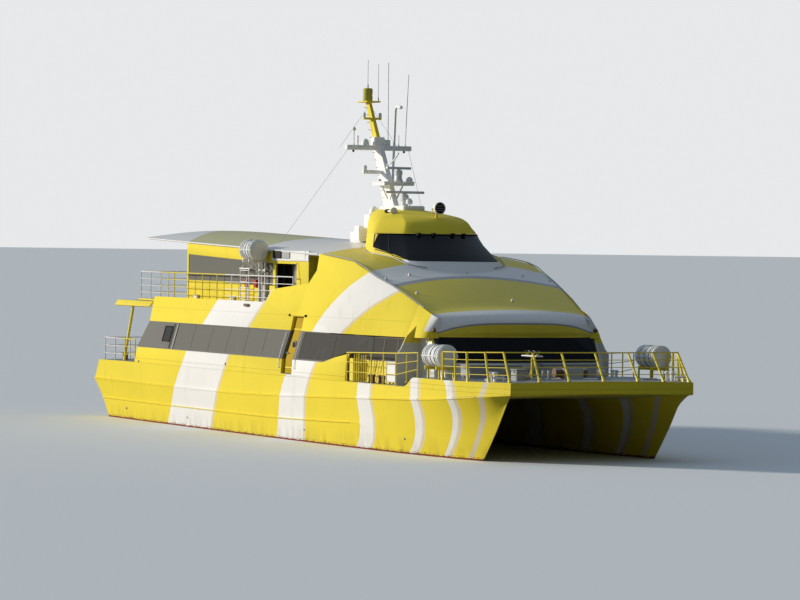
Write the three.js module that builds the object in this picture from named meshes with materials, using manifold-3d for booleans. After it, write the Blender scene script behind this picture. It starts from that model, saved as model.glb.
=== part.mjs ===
// Forty metre fast catamaran passenger ferry, full size, in millimetres.
// Frame: +X to the bow, +Y to port, +Z up; the origin is on the centreline at the waterline, amidships.
import * as THREE from "three";
import { mergeVertices } from "three/addons/utils/BufferGeometryUtils.js";
import Module from "manifold-3d";

const wasm = await Module();
wasm.setup();

// Driving dimensions
const GAP = 0.3; // clearance left between neighbouring pieces
const STERN_X = -19950; // aft edge of the upper rub rail
const BOW_X = 19950; // forward edge of the bow deck on the centreline
const HALF_BEAM = 5010; // at the upper rub rails, which stand 40 mm proud
const DRAUGHT = 1600;
const DEMI_Y = 3780; // centreline of each hull
const STEM_WL_X = 17050; // stem at the waterline
const TUNNEL_Y = 2450; // inner face of each hull at the wet deck
const DECK_Z = 2680; // main deck at the side, aft of the step
const FOREDECK_Z = 3060;
const STEP_X = 13200; // break of deck up to the foredeck
const WALL = 80; // thickness of the deckhouse walls
const SIDE_AFT_X = -15300; // after end of the saloon sides
const BAY_X = 7080; // after end of the side deck bay
const SHOULDER_X = 11430; // forward end of the full-width saloon
const NOSE_X = 12300; // top corner of the saloon's front windows
const BAND_LOW_Z = 3370; // lower edge of the side window band
const BAND_TOP_Z = 4570;
const BULWARK_Z = 5690; // top of the side plating along the upper deck
const UPPER_DECK_Z = 5560;
const HOUSE_Y = 3900; // half-width of the upper deckhouse
const HOUSE_AFT_X = -11750;
const ROOF_AFT_X = -17000;
const SCREEN_X = 2000; // foot of the raked after edge of the side screens
const PEAK_X = 2600; // highest point of the screen
const DOOR_X = 1480; // middle of the side boarding door
const DOOR_W = 1060;
const DOOR_H = 2340;
const DOOR_DEPTH = 140; // how far the leaf is set in from the side plating
const JET_Z = -60; // waterjet shaft height
const MAST_X = 1070; // foot of the mast on the wheelhouse top
const MAST_RAKE = 0.53; // aft lean for each unit of height
const RAFT_D = 900; // diameter of a liferaft canister

// Solids

// A solid from vertices and triangles, turned to face out.
function solid(points, faces) {
  const make = (tris) =>
    new wasm.Manifold(
      new wasm.Mesh({
        numProp: 3,
        vertProperties: new Float32Array(points.flat()),
        triVerts: new Uint32Array(tris.flat()),
      }),
    );
  const made = make(faces);
  return made.volume() < 0 ? make(faces.map(([a, b, c]) => [a, c, b])) : made;
}

// A solid from one of three.js's closed geometries.
function fromGeometry(geometry) {
  const g = geometry.clone();
  g.deleteAttribute("normal");
  g.deleteAttribute("uv");
  const m = mergeVertices(g, 1e-3);
  const p = m.attributes.position.array;
  const points = Array.from({ length: p.length / 3 }, (_, i) => [
    p[3 * i],
    p[3 * i + 1],
    p[3 * i + 2],
  ]);
  const faces = [];
  for (let i = 0; i < m.index.count; i += 3) {
    const t = [0, 1, 2].map((k) => m.index.getX(i + k));
    if (t[0] !== t[1] && t[1] !== t[2] && t[0] !== t[2]) faces.push(t);
  }
  return solid(points, faces);
}

// A skin through rings of equally many points; the end rings are capped flat.
// flat: the two coordinates that the caps are triangulated in.
function loft(rings, flat = [1, 2]) {
  const n = rings[0].length;
  const points = rings.flat();
  const faces = [];
  for (let r = 0; r + 1 < rings.length; r++)
    for (let i = 0; i < n; i++) {
      const a = r * n + i;
      const b = r * n + ((i + 1) % n);
      faces.push([a, b, b + n], [a, b + n, a + n]);
    }
  const cap = (ring) =>
    THREE.ShapeUtils.triangulateShape(
      ring.map((p) => new THREE.Vector2(p[flat[0]], p[flat[1]])),
      [],
    );
  const last = (rings.length - 1) * n;
  const clockwise = (ring) =>
    THREE.ShapeUtils.area(
      ring.map((p) => new THREE.Vector2(p[flat[0]], p[flat[1]])),
    ) < 0;
  const turn = clockwise(rings[0]);
  for (const t of cap(rings[0])) faces.push(turn ? t : [t[2], t[1], t[0]]);
  for (const t of cap(rings[rings.length - 1])) {
    const s = t.map((i) => i + last);
    faces.push(turn ? [s[2], s[1], s[0]] : s);
  }
  return solid(points, orient(faces));
}

// Turns the cap triangles so that every edge is used once each way.
function orient(faces) {
  const key = (a, b) => a * 1e6 + b;
  const used = new Set();
  const done = [];
  const waiting = faces.slice();
  const add = (t) => {
    for (let i = 0; i < 3; i++) used.add(key(t[i], t[(i + 1) % 3]));
    done.push(t);
  };
  add(waiting.shift());
  let moved = true;
  while (waiting.length && moved) {
    moved = false;
    for (let k = waiting.length - 1; k >= 0; k--) {
      const t = waiting[k];
      const edges = [0, 1, 2].map((i) => [t[i], t[(i + 1) % 3]]);
      if (edges.some(([a, b]) => used.has(key(a, b)))) {
        add([t[2], t[1], t[0]]);
      } else if (edges.some(([a, b]) => used.has(key(b, a)))) {
        add(t);
      } else continue;
      waiting.splice(k, 1);
      moved = true;
    }
  }
  return done;
}

const box = (x0, x1, y0, y1, z0, z1) =>
  fromGeometry(
    new THREE.BoxGeometry(x1 - x0, y1 - y0, z1 - z0).translate(
      (x0 + x1) / 2,
      (y0 + y1) / 2,
      (z0 + z1) / 2,
    ),
  );

// A straight bar from p to q with a regular section.
function rod(p, q, radius, sides = 4, tipRadius = radius) {
  const a = new THREE.Vector3(...p);
  const b = new THREE.Vector3(...q);
  const g = new THREE.CylinderGeometry(tipRadius, radius, a.distanceTo(b), sides);
  g.rotateY(Math.PI / sides);
  const turn = new THREE.Quaternion().setFromUnitVectors(
    new THREE.Vector3(0, 1, 0),
    b.clone().sub(a).normalize(),
  );
  g.applyQuaternion(turn);
  g.translate(...a.add(b).multiplyScalar(0.5).toArray());
  return fromGeometry(g);
}

// A flat outline pushed along one axis. The outline's points are given in the other two axes.
function prism(outline, axis, from, to) {
  const place = {
    x: ([a, b], c) => [c, a, b],
    y: ([a, b], c) => [a, c, b],
    z: ([a, b], c) => [a, b, c],
  }[axis];
  const flat = { x: [1, 2], y: [0, 2], z: [0, 1] }[axis];
  return loft([outline.map((p) => place(p, from)), outline.map((p) => place(p, to))], flat);
}

const join = (...parts) => parts.reduce((a, b) => a.add(b));
const cut = (body, ...tools) => tools.reduce((a, b) => a.subtract(b), body);
const mirrored = (part) => {
  const m = part.getMesh();
  const points = [];
  for (let i = 0; i < m.numVert; i++) {
    const v = m.vertProperties.subarray(i * m.numProp, i * m.numProp + 3);
    points.push([v[0], -v[1], v[2]]);
  }
  const faces = [];
  for (let i = 0; i < m.triVerts.length; i += 3)
    faces.push([m.triVerts[i], m.triVerts[i + 1], m.triVerts[i + 2]]);
  return solid(points, faces);
};

const moved = (part, dx, dy, dz) => {
  const m = part.getMesh();
  const points = [];
  for (let i = 0; i < m.numVert; i++) {
    const v = m.vertProperties.subarray(i * m.numProp, i * m.numProp + 3);
    points.push([v[0] + dx, v[1] + dy, v[2] + dz]);
  }
  const faces = [];
  for (let i = 0; i < m.triVerts.length; i += 3)
    faces.push([m.triVerts[i], m.triVerts[i + 1], m.triVerts[i + 2]]);
  return solid(points, faces);
};

const lerp = (a, b, t) => a + (b - a) * t;
// Reads a table whose rows start with x, at any x between its rows.
function at(table, x) {
  if (x <= table[0][0]) return table[0];
  for (let i = 1; i < table.length; i++)
    if (x <= table[i][0]) {
      const t = (x - table[i - 1][0]) / (table[i][0] - table[i - 1][0]);
      return table[i].map((v, k) => lerp(table[i - 1][k], v, t));
    }
  return table[table.length - 1];
}

// The group and its colours

const group = new THREE.Group();
group.name = "passenger_ferry";
const COLOURS = {
  yellow: 0xf5d327,
  white: 0xe9e6dd,
  grey: 0x6e7072,
  glass: 0x1d2226,
  steel: 0x8d9396,
  deck: 0x7c8385,
  dark: 0x2b2d2e,
};
function put(name, part, colour) {
  const m = part.getMesh();
  const geometry = new THREE.BufferGeometry();
  const positions = new Float32Array(m.numVert * 3);
  for (let i = 0; i < m.numVert; i++)
    positions.set(m.vertProperties.subarray(i * m.numProp, i * m.numProp + 3), i * 3);
  geometry.setAttribute("position", new THREE.BufferAttribute(positions, 3));
  geometry.setIndex(new THREE.BufferAttribute(m.triVerts, 1));
  geometry.computeVertexNormals();
  const mesh = new THREE.Mesh(
    geometry,
    new THREE.MeshStandardMaterial({ color: COLOURS[colour], roughness: 0.5 }),
  );
  mesh.name = name;
  group.add(mesh);
}
// The same piece on both sides: built to port, mirrored to starboard.
function pair(name, part, colour) {
  put(name + "_port", part, colour);
  put(name + "_starboard", mirrored(part), colour);
}

// Hulls: sections looking forward, port side
// x, keel z, keel half-width, chine z, chine half-width, lower rail z, half-width at the lower rail,
// half-width at the upper rail, inner half-width at the wet deck (all from the hull's own centre line)
const HULL = [
  [STERN_X, -1350, 380, -900, 850, 880, 1060, 1220, 1330],
  [-12000, -1520, 330, -900, 980, 870, 1120, 1230, 1330],
  [-2000, -DRAUGHT, 120, -900, 1020, 870, 1150, 1230, 1330],
  [6000, -DRAUGHT, 60, -850, 930, 990, 1120, 1225, 1330],
  [11000, -1540, 30, -700, 700, 1150, 1020, 1200, 1330],
  [14000, -1450, 20, -450, 430, 1290, 830, 1138, 1280],
  [15900, -1150, 14, -150, 240, 1420, 640, 1058, 1020],
  [STEM_WL_X, 0, 12, 420, 130, 1560, 430, 908, 760],
  [18200, 1300, 12, 1480, 60, 1850, 180, 658, 420],
  [18850, 2170, 12, 2240, 30, 2330, 70, 450, 170],
  [19140, 2535, 8, 2545, 12, 2555, 20, 240, 60],
];
// x, height of the upper rub rail
const RAIL_A = [
  [STERN_X, 1735],
  [-12000, 1700],
  [-5000, 1690],
  [1000, 1800],
  [7800, 2000],
  [14000, 2210],
  [17000, 2390],
  [18950, 2560],
  [BOW_X, 2640],
];

function hullSection(row) {
  const [x, keelZ, keelW, chineZ, chineW, railBZ, railBW, railAW, innerW] = row;
  const topZ = at(RAIL_A, x)[1] - GAP;
  const lip = x < 12000 ? 45 : 3; // the lower rub rail runs out forward
  const lipZ = x < 18900 ? 30 : 4;
  const y = (w) => DEMI_Y + w;
  const haunchZ = lerp(railBZ + lipZ, topZ, 0.45);
  return [
    [x, y(-keelW), keelZ],
    [x, y(keelW), keelZ],
    [x, y(chineW), chineZ],
    [x, y(railBW), railBZ - lipZ],
    [x, y(railBW + lip), railBZ - 0.8 * lipZ],
    [x, y(railBW + lip), railBZ + 0.5 * lipZ],
    [x, y(railBW), railBZ + lipZ],
    [x, y(railAW), topZ],
    [x, y(-innerW), topZ],
    [x, y(-innerW * 0.8), haunchZ],
    [x, y(-chineW * 0.86), lerp(chineZ, haunchZ, 0.05)],
  ];
}
const TRANSOM = [
  [STERN_X - 500, 5000],
  [-19480, DECK_Z],
  [STERN_X, 1735],
  [-19280, 880],
  [-18760, 0],
  [-18350, -DRAUGHT - 200],
  [STERN_X - 500, -DRAUGHT - 200],
];
const transomTool = prism(TRANSOM, "y", -6000, 6000);
pair("hull", cut(loft(HULL.map(hullSection)), transomTool), "yellow");

// Deck structure between and above the hulls
// x, deck edge half-breadth, deck edge z, half-breadth at the upper rub rail, wet deck half-breadth,
// wet deck z
const EDGE = [
  [STERN_X, 4980, DECK_Z - 40, HALF_BEAM, TUNNEL_Y],
  [-12000, 4985, DECK_Z, HALF_BEAM, TUNNEL_Y],
  [6000, 4985, DECK_Z, HALF_BEAM, TUNNEL_Y],
  [11000, 4960, DECK_Z, 5010, TUNNEL_Y],
  [12400, 4940, DECK_Z, 4980, TUNNEL_Y],
  [STEP_X, 4920, FOREDECK_Z, 4950, 2480],
  [14000, 4910, FOREDECK_Z, 4920, 2500],
  [15900, 4830, FOREDECK_Z, 4840, 2760],
  [STEM_WL_X, 4680, FOREDECK_Z + 5, 4690, 3020],
  [18200, 4420, FOREDECK_Z + 20, 4440, 3360],
  [18950, 4190, FOREDECK_Z + 30, 4210, 3630],
  [19600, 3990, FOREDECK_Z + 35, 4000, 3850],
  [BOW_X, 3880, FOREDECK_Z + 40, 3885, 3800],
];
function deckSection([x, edgeY, edgeZ, railY, tunnelY]) {
  const lowZ = at(RAIL_A, x)[1];
  const lip = x < 17000 ? 40 : 2;
  const crown = 60;
  const half = [
    [x, tunnelY, lowZ],
    [x, railY, lowZ],
    [x, railY + lip, lowZ + 10],
    [x, railY + lip, lowZ + 60],
    [x, railY - 4, lowZ + 75],
    [x, edgeY, edgeZ],
    [x, edgeY * 0.5, edgeZ + crown * 0.75],
  ];
  const other = half.map(([a, b, c]) => [a, -b, c]).reverse();
  return [...half, [x, 0, edgeZ + crown], ...other, [x, 0, lowZ + 40]];
}
// The bow deck's front edge bows forward on the centreline.
const BOW_EDGE = [
  [19560, -4600],
  [19600, -3990],
  [BOW_X, -1500],
  [BOW_X, 1500],
  [19600, 3990],
  [19560, 4600],
  [BOW_X + 800, 4600],
  [BOW_X + 800, -4600],
];
const deckStructure = cut(
  loft(EDGE.map(deckSection)),
  transomTool,
  prism(BOW_EDGE, "z", 1500, 4000),
);
put("deck_structure", deckStructure, "yellow");

// The knuckles of a hinge along the line from a to b, at the given shares of it.
// leafEnd and frameEnd give where the arm from a knuckle ends, inside the leaf or the frame.
function hinge(a, b, shares, { radius, half, leafEnd, frameEnd }) {
  const length = Math.hypot(b[0] - a[0], b[1] - a[1], b[2] - a[2]);
  const leaf = [];
  const frame = [];
  for (const share of shares) {
    const spot = (mm) => a.map((v, k) => lerp(v, b[k], share + mm / length));
    leaf.push(rod(spot(-half), spot(half), radius, 8));
    leaf.push(rod(spot(0), leafEnd(spot(0)), radius * 0.7));
    for (const side of [-1, 1]) {
      frame.push(rod(spot(side * (half + GAP)), spot(side * 2 * half), radius, 8));
      frame.push(rod(spot(side * 1.5 * half), frameEnd(spot(side * 1.5 * half)), radius * 0.7));
    }
  }
  return { leaf: join(...leaf), frame: join(...frame) };
}

// Saloon sides
// x, half-breadth at the deck, at the band's foot, at its top, and the top edge's half-breadth and z
const SIDE = [
  [SIDE_AFT_X, 4975, 4950, 4600, 4060, 7790],
  [PEAK_X, 4975, 4950, 4600, 4060, 7790],
  [6000, 4975, 4950, 4600, 4100, 7500],
  [8000, 4930, 4890, 4460, 4000, 6880],
  [9050, 4870, 4830, 4360, 3850, 6570],
  [9900, 4800, 4760, 4270, 3740, 6270],
  [10700, 4730, 4680, 4190, 3660, 5970],
  [SHOULDER_X, 4650, 4600, 4110, 3530, 5670],
];
const overDeck = moved(deckStructure, 0, 0, GAP);
// One slice of a side wall between two depths under its outer face.
function sideRing([x, y0, y1, y2, y3, z3], outer, inner) {
  const z0 = DECK_Z - 30;
  const face = (d) => [
    [x, y0 - d, z0],
    [x, y1 - d, BAND_LOW_Z],
    [x, y2 - d, BAND_TOP_Z],
    [x, y3 - d, z3],
  ];
  return [...face(outer), ...face(inner).reverse()];
}
const sideWall = (outer, inner) =>
  loft(SIDE.map((row) => sideRing(row, outer, inner)));
// Side view outlines, x and z
const BULWARK_CUT = [
  [SIDE_AFT_X - 100, 9000],
  [SIDE_AFT_X - 100, BULWARK_Z],
  [-2400, BULWARK_Z],
  [-2000, 5760],
  [-1620, 6240],
  [SCREEN_X, 6560],
  [PEAK_X, 7100],
  [PEAK_X, 9000],
];
const AFT_RAKE = [
  [SIDE_AFT_X - 200, BULWARK_Z + 400],
  [-14240, BULWARK_Z + 400],
  [-14260, BULWARK_Z],
  [-14360, BAND_TOP_Z],
  [-14980, BAND_LOW_Z],
  [SIDE_AFT_X + 60, DECK_Z - 100],
  [SIDE_AFT_X - 200, DECK_Z - 100],
];
const BAY_CUT = [
  [BAY_X, DECK_Z - 100],
  [BAY_X, 3800],
  [4880, BAND_LOW_Z + 40],
  [4880, BAND_TOP_Z],
  [SHOULDER_X + 50, BAND_TOP_Z],
  [SHOULDER_X + 50, DECK_Z - 100],
];
const doorOutline = (x, grow) => [
  [x - DOOR_W / 2 - grow - 90, DECK_Z + 90 - grow],
  [x + DOOR_W / 2 + grow - 90, DECK_Z + 90 - grow],
  [x + DOOR_W / 2 + grow + 90, DECK_Z + 90 + DOOR_H + grow],
  [x - DOOR_W / 2 - grow + 90, DECK_Z + 90 + DOOR_H + grow],
];
const doorHole = prism(doorOutline(DOOR_X, 6), "y", 3500, 5300);
// the lining of the doorway, inside the plating, deeper over the head
const doorLining = sideWall(WALL - 10, DOOR_DEPTH + 60).intersect(
  prism(
    doorOutline(DOOR_X, 46).map(([x, z], i) => [x, z + (i > 1 ? 60 : 0)]),
    "y",
    3500,
    5300,
  ),
);
// x and z of the two openings of the side window band
const AFT_BAND = [
  [-10900, BAND_LOW_Z + 60],
  [DOOR_X - 1000, BAND_LOW_Z + 60],
  [DOOR_X - 1000, BAND_TOP_Z - 40],
  [-10900, BAND_TOP_Z - 40],
];
const FORE_BAND = [
  [DOOR_X + 1000, BAND_LOW_Z + 60],
  [4980, BAND_LOW_Z + 60],
  [6950, 3840],
  [6950, BAND_TOP_Z - 40],
  [DOOR_X + 1000, BAND_TOP_Z - 40],
];
const inset = (outline, d) => {
  const cx = outline.reduce((s, p) => s + p[0], 0) / outline.length;
  const cz = outline.reduce((s, p) => s + p[1], 0) / outline.length;
  return outline.map(([x, z]) => [x + Math.sign(cx - x) * d, z + Math.sign(cz - z) * d]);
};
const through = (outline) => prism(outline, "y", 3300, 5300);
// the leaf's forward edge, and its hinge line this far outboard of that edge
const DOOR_HINGE_OUT = 112;
const sideFaceY = (z) => at(SIDE_FACE, z)[1];
const SIDE_FACE = [
  [DECK_Z - 30, 4975],
  [BAND_LOW_Z, 4950],
  [BAND_TOP_Z, 4600],
  [7790, 4060],
];
const hingeEnd = ([x, z]) => [x - 12, sideFaceY(z) - DOOR_DEPTH + DOOR_HINGE_OUT, z];
const [, leafFoot, leafHead] = doorOutline(DOOR_X, -6);
const doorHinge = hinge(hingeEnd(leafFoot), hingeEnd(leafHead), [0.1, 0.55, 0.9], {
  radius: 16,
  half: 45,
  leafEnd: ([x, , z]) => [x - 45, sideFaceY(z) - DOOR_DEPTH - 20, z],
  frameEnd: ([x, y, z]) => [x + 44, y, z],
});
// the head of the doorway slopes up outboard, because the leaf rises as it swings out of the leaning side
const doorHeadZ = DECK_Z + 90 + DOOR_H;
const doorHeadY = sideFaceY(doorHeadZ);
const doorHead = prism(
  [
    [doorHeadY - DOOR_DEPTH - 75, doorHeadZ - 20],
    [doorHeadY + 60, doorHeadZ - 20],
    [doorHeadY + 60, doorHeadZ + 88],
    [doorHeadY - DOOR_DEPTH - 75, doorHeadZ + 6],
  ],
  "x",
  DOOR_X - DOOR_W / 2 + 84,
  DOOR_X + DOOR_W / 2 + 96,
);
const sidePlating = cut(
  join(sideWall(0, WALL), doorLining),
  doorHead,
  through(BULWARK_CUT),
  through(AFT_RAKE),
  through(BAY_CUT),
  doorHole,
  through(AFT_BAND),
  through(FORE_BAND),
  overDeck,
);
pair("saloon_side", join(sidePlating, doorHinge.frame), "yellow");
const paneSkin = sideWall(15, 55);
pair("saloon_glass_aft", paneSkin.intersect(through(inset(AFT_BAND, GAP))), "glass");
pair("saloon_glass_forward", paneSkin.intersect(through(inset(FORE_BAND, GAP))), "glass");

// Boarding door leaves, hung on their forward edges, with a wider gap at the edge that swings
const leafOutline = doorOutline(DOOR_X, -6).map(([x, z], i) => [x + (i === 0 || i === 3 ? 18 : 0), z]);
const doorLeaf = sideWall(DOOR_DEPTH, DOOR_DEPTH + 50).intersect(
  prism(leafOutline, "y", 3500, 5300),
);
pair("boarding_door", join(doorLeaf, doorHinge.leaf), "yellow");

// Wall at the back of each side deck bay, set in from the plating; its panes lie in flat panels
// x and the y of its foot, knuckle and top
const BAY_WALL = [
  [BAY_X - 30, 4490, 4430, 4310],
  [9050, 4450, 4320, 4200],
  [SHOULDER_X - 20, 4400, 4110, 3990],
];
function bayRing([x, y0, y1, y2], outer, inner) {
  const z0 = DECK_Z - 30;
  const face = (d) => [
    [x, y0 - d, z0],
    [x, y1 - d, 3560],
    [x, y2 - d, BAND_TOP_Z - 10],
  ];
  return [...face(outer), ...face(inner).reverse()];
}
const bayWall = (outer, inner) => loft(BAY_WALL.map((row) => bayRing(row, outer, inner)));
const BAY_BAND = [
  [BAY_X + 250, 3600],
  [SHOULDER_X - 250, 3600],
  [SHOULDER_X - 250, BAND_TOP_Z - 90],
  [BAY_X + 250, BAND_TOP_Z - 90],
];
// the short return that closes the saloon side at the after end of the bay
const bayReturn = prism(
  [
    [4480, DECK_Z - 30],
    [4864, DECK_Z - 30],
    [4836, BAND_LOW_Z],
    [4436, BAND_TOP_Z - 12],
    [4260, BAND_TOP_Z - 12],
    [4400, 3560],
  ],
  "x",
  BAY_X - 70,
  BAY_X - 1,
);
pair("bay_wall", cut(join(bayWall(0, WALL), bayReturn), through(BAY_BAND), overDeck), "yellow");
pair("bay_glass", bayWall(15, 55).intersect(through(inset(BAY_BAND, GAP))), "glass");

// Forward deckhouse: front wall rounded in plan, with its shoulders
// plan points, x and y, of the front wall's outer face at the deck, the band's top and the brow
const FRONT_LEVELS = [
  [2900, 12950, 13150, 13350, 3860, 2600],
  [3600, 12800, 13050, 13250, 3800, 2500],
  [4660 - GAP, NOSE_X, 12700, 12900, 3690, 2450],
];
function frontRing([z, cornerX, midX, noseX, cornerY, midY], d) {
  const outer = [
    [SHOULDER_X + 40, cornerY + 30],
    [cornerX, cornerY],
    [midX, midY],
    [noseX, 0],
    [midX, -midY],
    [cornerX, -cornerY],
    [SHOULDER_X + 40, -cornerY - 30],
  ];
  const inner = outer.map(([x, y], i) => [
    i === 0 || i === 6 ? x : x - d,
    y - Math.sign(y) * d * (Math.abs(y) > 3000 ? 1 : 0),
  ]);
  return { outer, inner, z };
}
function frontWall(d0, d1) {
  const rings = FRONT_LEVELS.map((row) => {
    const a = frontRing(row, d0).inner;
    const b = frontRing(row, d1).inner.slice().reverse();
    return [...a, ...b].map(([x, y]) => [x, y, row[0]]);
  });
  return loft(rings, [0, 1]);
}
// the shoulder where the full-width saloon ends, and the cheek above the window head
const shoulder = prism(
  [
    [3700, 2600],
    [4800, 2600],
    [4800, 3900],
    [4620, 4130],
    [4360, 4650],
    [3950, 5040],
    [3700, 5040],
  ],
  "x",
  SHOULDER_X + GAP,
  SHOULDER_X + 70,
);
const cheekRing = (x, low, mid, high, z) => [
  [x, low, 4560],
  [x, mid, 5000],
  [x, high, z],
  [x, high - WALL, z],
  [x, mid - WALL, 5000],
  [x, low - WALL, 4560],
];
const cheek = loft([
  cheekRing(SHOULDER_X + GAP, 3950, 3950, 3530, 5665),
  cheekRing(12360, 3860, 3590, 3400, 5340),
]);
const FRONT_BAND = [
  [-3560, 3680],
  [3560, 3680],
  [3440, 4600],
  [-3440, 4600],
];
const frontHole = prism(FRONT_BAND, "x", NOSE_X - 100, 14000);

// Forehead: the long sloping front from the brow up to the wheelhouse
// x, half-breadth, edge z, centre rise
const FOREHEAD = [
  [PEAK_X, 4060, 7790, 420],
  [6000, 4100, 7500, 330],
  [8000, 4000, 6880, 260],
  [9050, 3850, 6570, 230],
  [9900, 3740, 6270, 210],
  [10700, 3660, 5970, 190],
  [SHOULDER_X, 3530, 5670, 170],
];
// the nose, as rings that turn down from the brow to the window head
const NOSE = [
  [12080, 3370, 5400, 12750, 5480],
  [12340, 3430, 5050, 13020, 5180],
  [12400, 3580, 4800, 12980, 4840],
  [12350, 3680, 4660, 12880, 4660],
];
// how far the inner face of each nose ring lies aft and below
const NOSE_DEPTH = [
  [40, 75],
  [75, 30],
  [80, 10],
  [80, 0],
];
function foreheadRing([x, y, z, rise]) {
  const out = [];
  for (let i = 0; i <= 10; i++) {
    const s = i / 5 - 1;
    out.push([x, s * (y - WALL - 1), z + rise * (1 - s * s)]);
  }
  return out;
}
function noseRing([cornerX, y, z, midX, midZ]) {
  const out = [];
  for (let i = 0; i <= 10; i++) {
    const s = i / 5 - 1;
    out.push([lerp(midX, cornerX, s * s), s * y, lerp(midZ, z, s * s)]);
  }
  return out;
}
// A plate between two stacks of open rings, closed along its four edges.
function plate(top, low) {
  const rows = top.length;
  const cols = top[0].length;
  const points = [...top.flat(), ...low.flat()];
  const id = (r, c, side) => side * rows * cols + r * cols + c;
  const faces = [];
  for (let r = 0; r + 1 < rows; r++)
    for (let c = 0; c + 1 < cols; c++) {
      faces.push([id(r, c, 0), id(r, c + 1, 0), id(r + 1, c + 1, 0)]);
      faces.push([id(r, c, 0), id(r + 1, c + 1, 0), id(r + 1, c, 0)]);
      faces.push([id(r, c, 1), id(r + 1, c + 1, 1), id(r, c + 1, 1)]);
      faces.push([id(r, c, 1), id(r + 1, c, 1), id(r + 1, c + 1, 1)]);
    }
  const edge = [];
  for (let c = 0; c < cols; c++) edge.push([0, c]);
  for (let r = 1; r < rows; r++) edge.push([r, cols - 1]);
  for (let c = cols - 2; c >= 0; c--) edge.push([rows - 1, c]);
  for (let r = rows - 2; r > 0; r--) edge.push([r, 0]);
  edge.forEach(([r, c], i) => {
    const [s, e] = edge[(i + 1) % edge.length];
    faces.push([id(r, c, 0), id(s, e, 1), id(s, e, 0)]);
    faces.push([id(r, c, 0), id(r, c, 1), id(s, e, 1)]);
  });
  return solid(points, orient(faces));
}
const foreheadTop = [...FOREHEAD.map(foreheadRing), ...NOSE.map(noseRing)];
const foreheadLow = foreheadTop.map((ring, r) => {
  const [aft, down] = r < FOREHEAD.length ? [0, WALL] : NOSE_DEPTH[r - FOREHEAD.length];
  return ring.map(([x, y, z]) => [x - aft, y * 0.985, z - down]);
});
const forehead = plate(foreheadTop, foreheadLow);
put("forehead", forehead, "yellow");
// Leaves a gap round another piece.
const around = (part, other) =>
  cut(
    part,
    ...[-GAP, GAP].flatMap((d) => [moved(other, d, 0, 0), moved(other, 0, d, 0), moved(other, 0, 0, d)]),
  );
const frontSides = join(shoulder, cheek);
const frontPlate = around(
  cut(join(frontWall(0, WALL), frontSides, mirrored(frontSides)), frontHole, overDeck),
  forehead,
);
put("front_wall", frontPlate, "yellow");
put(
  "front_glass",
  frontWall(15, 55).intersect(prism(inset(FRONT_BAND, GAP), "x", NOSE_X - 100, 14000)),
  "glass",
);

// Upper deck, after canopy and the saloon's after bulkhead
const deckInner = 4330; // half-width between the side platings
const upperDeck = prism(
  [
    [-16700, -4200],
    [-14420, -4330],
    [-14250, -deckInner],
    [PEAK_X + 900, -deckInner],
    [PEAK_X + 900, deckInner],
    [-14250, deckInner],
    [-14420, 4330],
    [-16700, 4200],
  ],
  "z",
  UPPER_DECK_Z - WALL,
  UPPER_DECK_Z,
);
put("upper_deck", upperDeck, "deck");

// the canopy aft of it steps down and rests on two raked posts
const canopyRoof = prism(
  [
    [-18680, 5380],
    [-16720, 5400],
    [-16720, 5470],
    [-18680, 5440],
  ],
  "y",
  -4360,
  4360,
);
// the drooping lip along each side of the canopy and the after end of the upper deck
const canopyLip = prism(
  [
    [4345, 5370],
    [4345, 5465],
    [4400, 5450],
    [4580, 5215],
    [4530, 5180],
  ],
  "x",
  -18680,
  -14500,
);
// post: foot x, y and top x, y
const CANOPY_POSTS = [
  [-17150, 4690, -17150, 4230],
  [-17150, -4690, -17150, -4230],
  [-18300, 1300, -18300, 1300],
  [-18300, -1300, -18300, -1300],
];
const canopyPosts = CANOPY_POSTS.map(([fx, fy, tx, ty]) =>
  rod([fx, fy, DECK_Z - 20], [tx, ty, 5400], 70),
);
put("canopy", cut(join(canopyRoof, canopyLip, mirrored(canopyLip), ...canopyPosts), moved(deckStructure, 0, 0, GAP)), "yellow");

const bulkheadX = -14300;
const AFT_DOOR = { y: 450, low: DECK_Z + 140, top: DECK_Z + 2190 };
// The hinge of an after door: x of the wall's after face, y of the opening's edge, door limits
const aftHinge = (faceX, y, low, top) =>
  hinge([faceX - 18, -y - 6, low], [faceX - 18, -y - 6, top], [0.1, 0.9], {
    radius: 12,
    half: 40,
    leafEnd: ([hx, hy, hz]) => [hx + 45, hy + 30, hz],
    frameEnd: ([hx, hy, hz]) => [hx + 30, hy - 25, hz],
  });
const saloonHinge = aftHinge(bulkheadX, AFT_DOOR.y, AFT_DOOR.low, AFT_DOOR.top);
const saloonBulkhead = cut(
  prism(
    [
      [-4890, DECK_Z - 30],
      [4890, DECK_Z - 30],
      [4862, BAND_LOW_Z],
      [4510, BAND_TOP_Z],
      [4362, UPPER_DECK_Z - WALL - 2],
      [-4362, UPPER_DECK_Z - WALL - 2],
      [-4510, BAND_TOP_Z],
      [-4862, BAND_LOW_Z],
    ],
    "x",
    bulkheadX,
    bulkheadX + WALL,
  ),
  box(bulkheadX - 50, bulkheadX + 200, -AFT_DOOR.y - 6, AFT_DOOR.y + 6, AFT_DOOR.low - 6, AFT_DOOR.top + 6),
  overDeck,
);
put("saloon_bulkhead", join(saloonBulkhead, saloonHinge.frame), "white");
put(
  "saloon_aft_door",
  join(
    box(bulkheadX + 15, bulkheadX + 60, -AFT_DOOR.y, AFT_DOOR.y - 6, AFT_DOOR.low, AFT_DOOR.top),
    saloonHinge.leaf,
  ),
  "grey",
);

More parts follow.
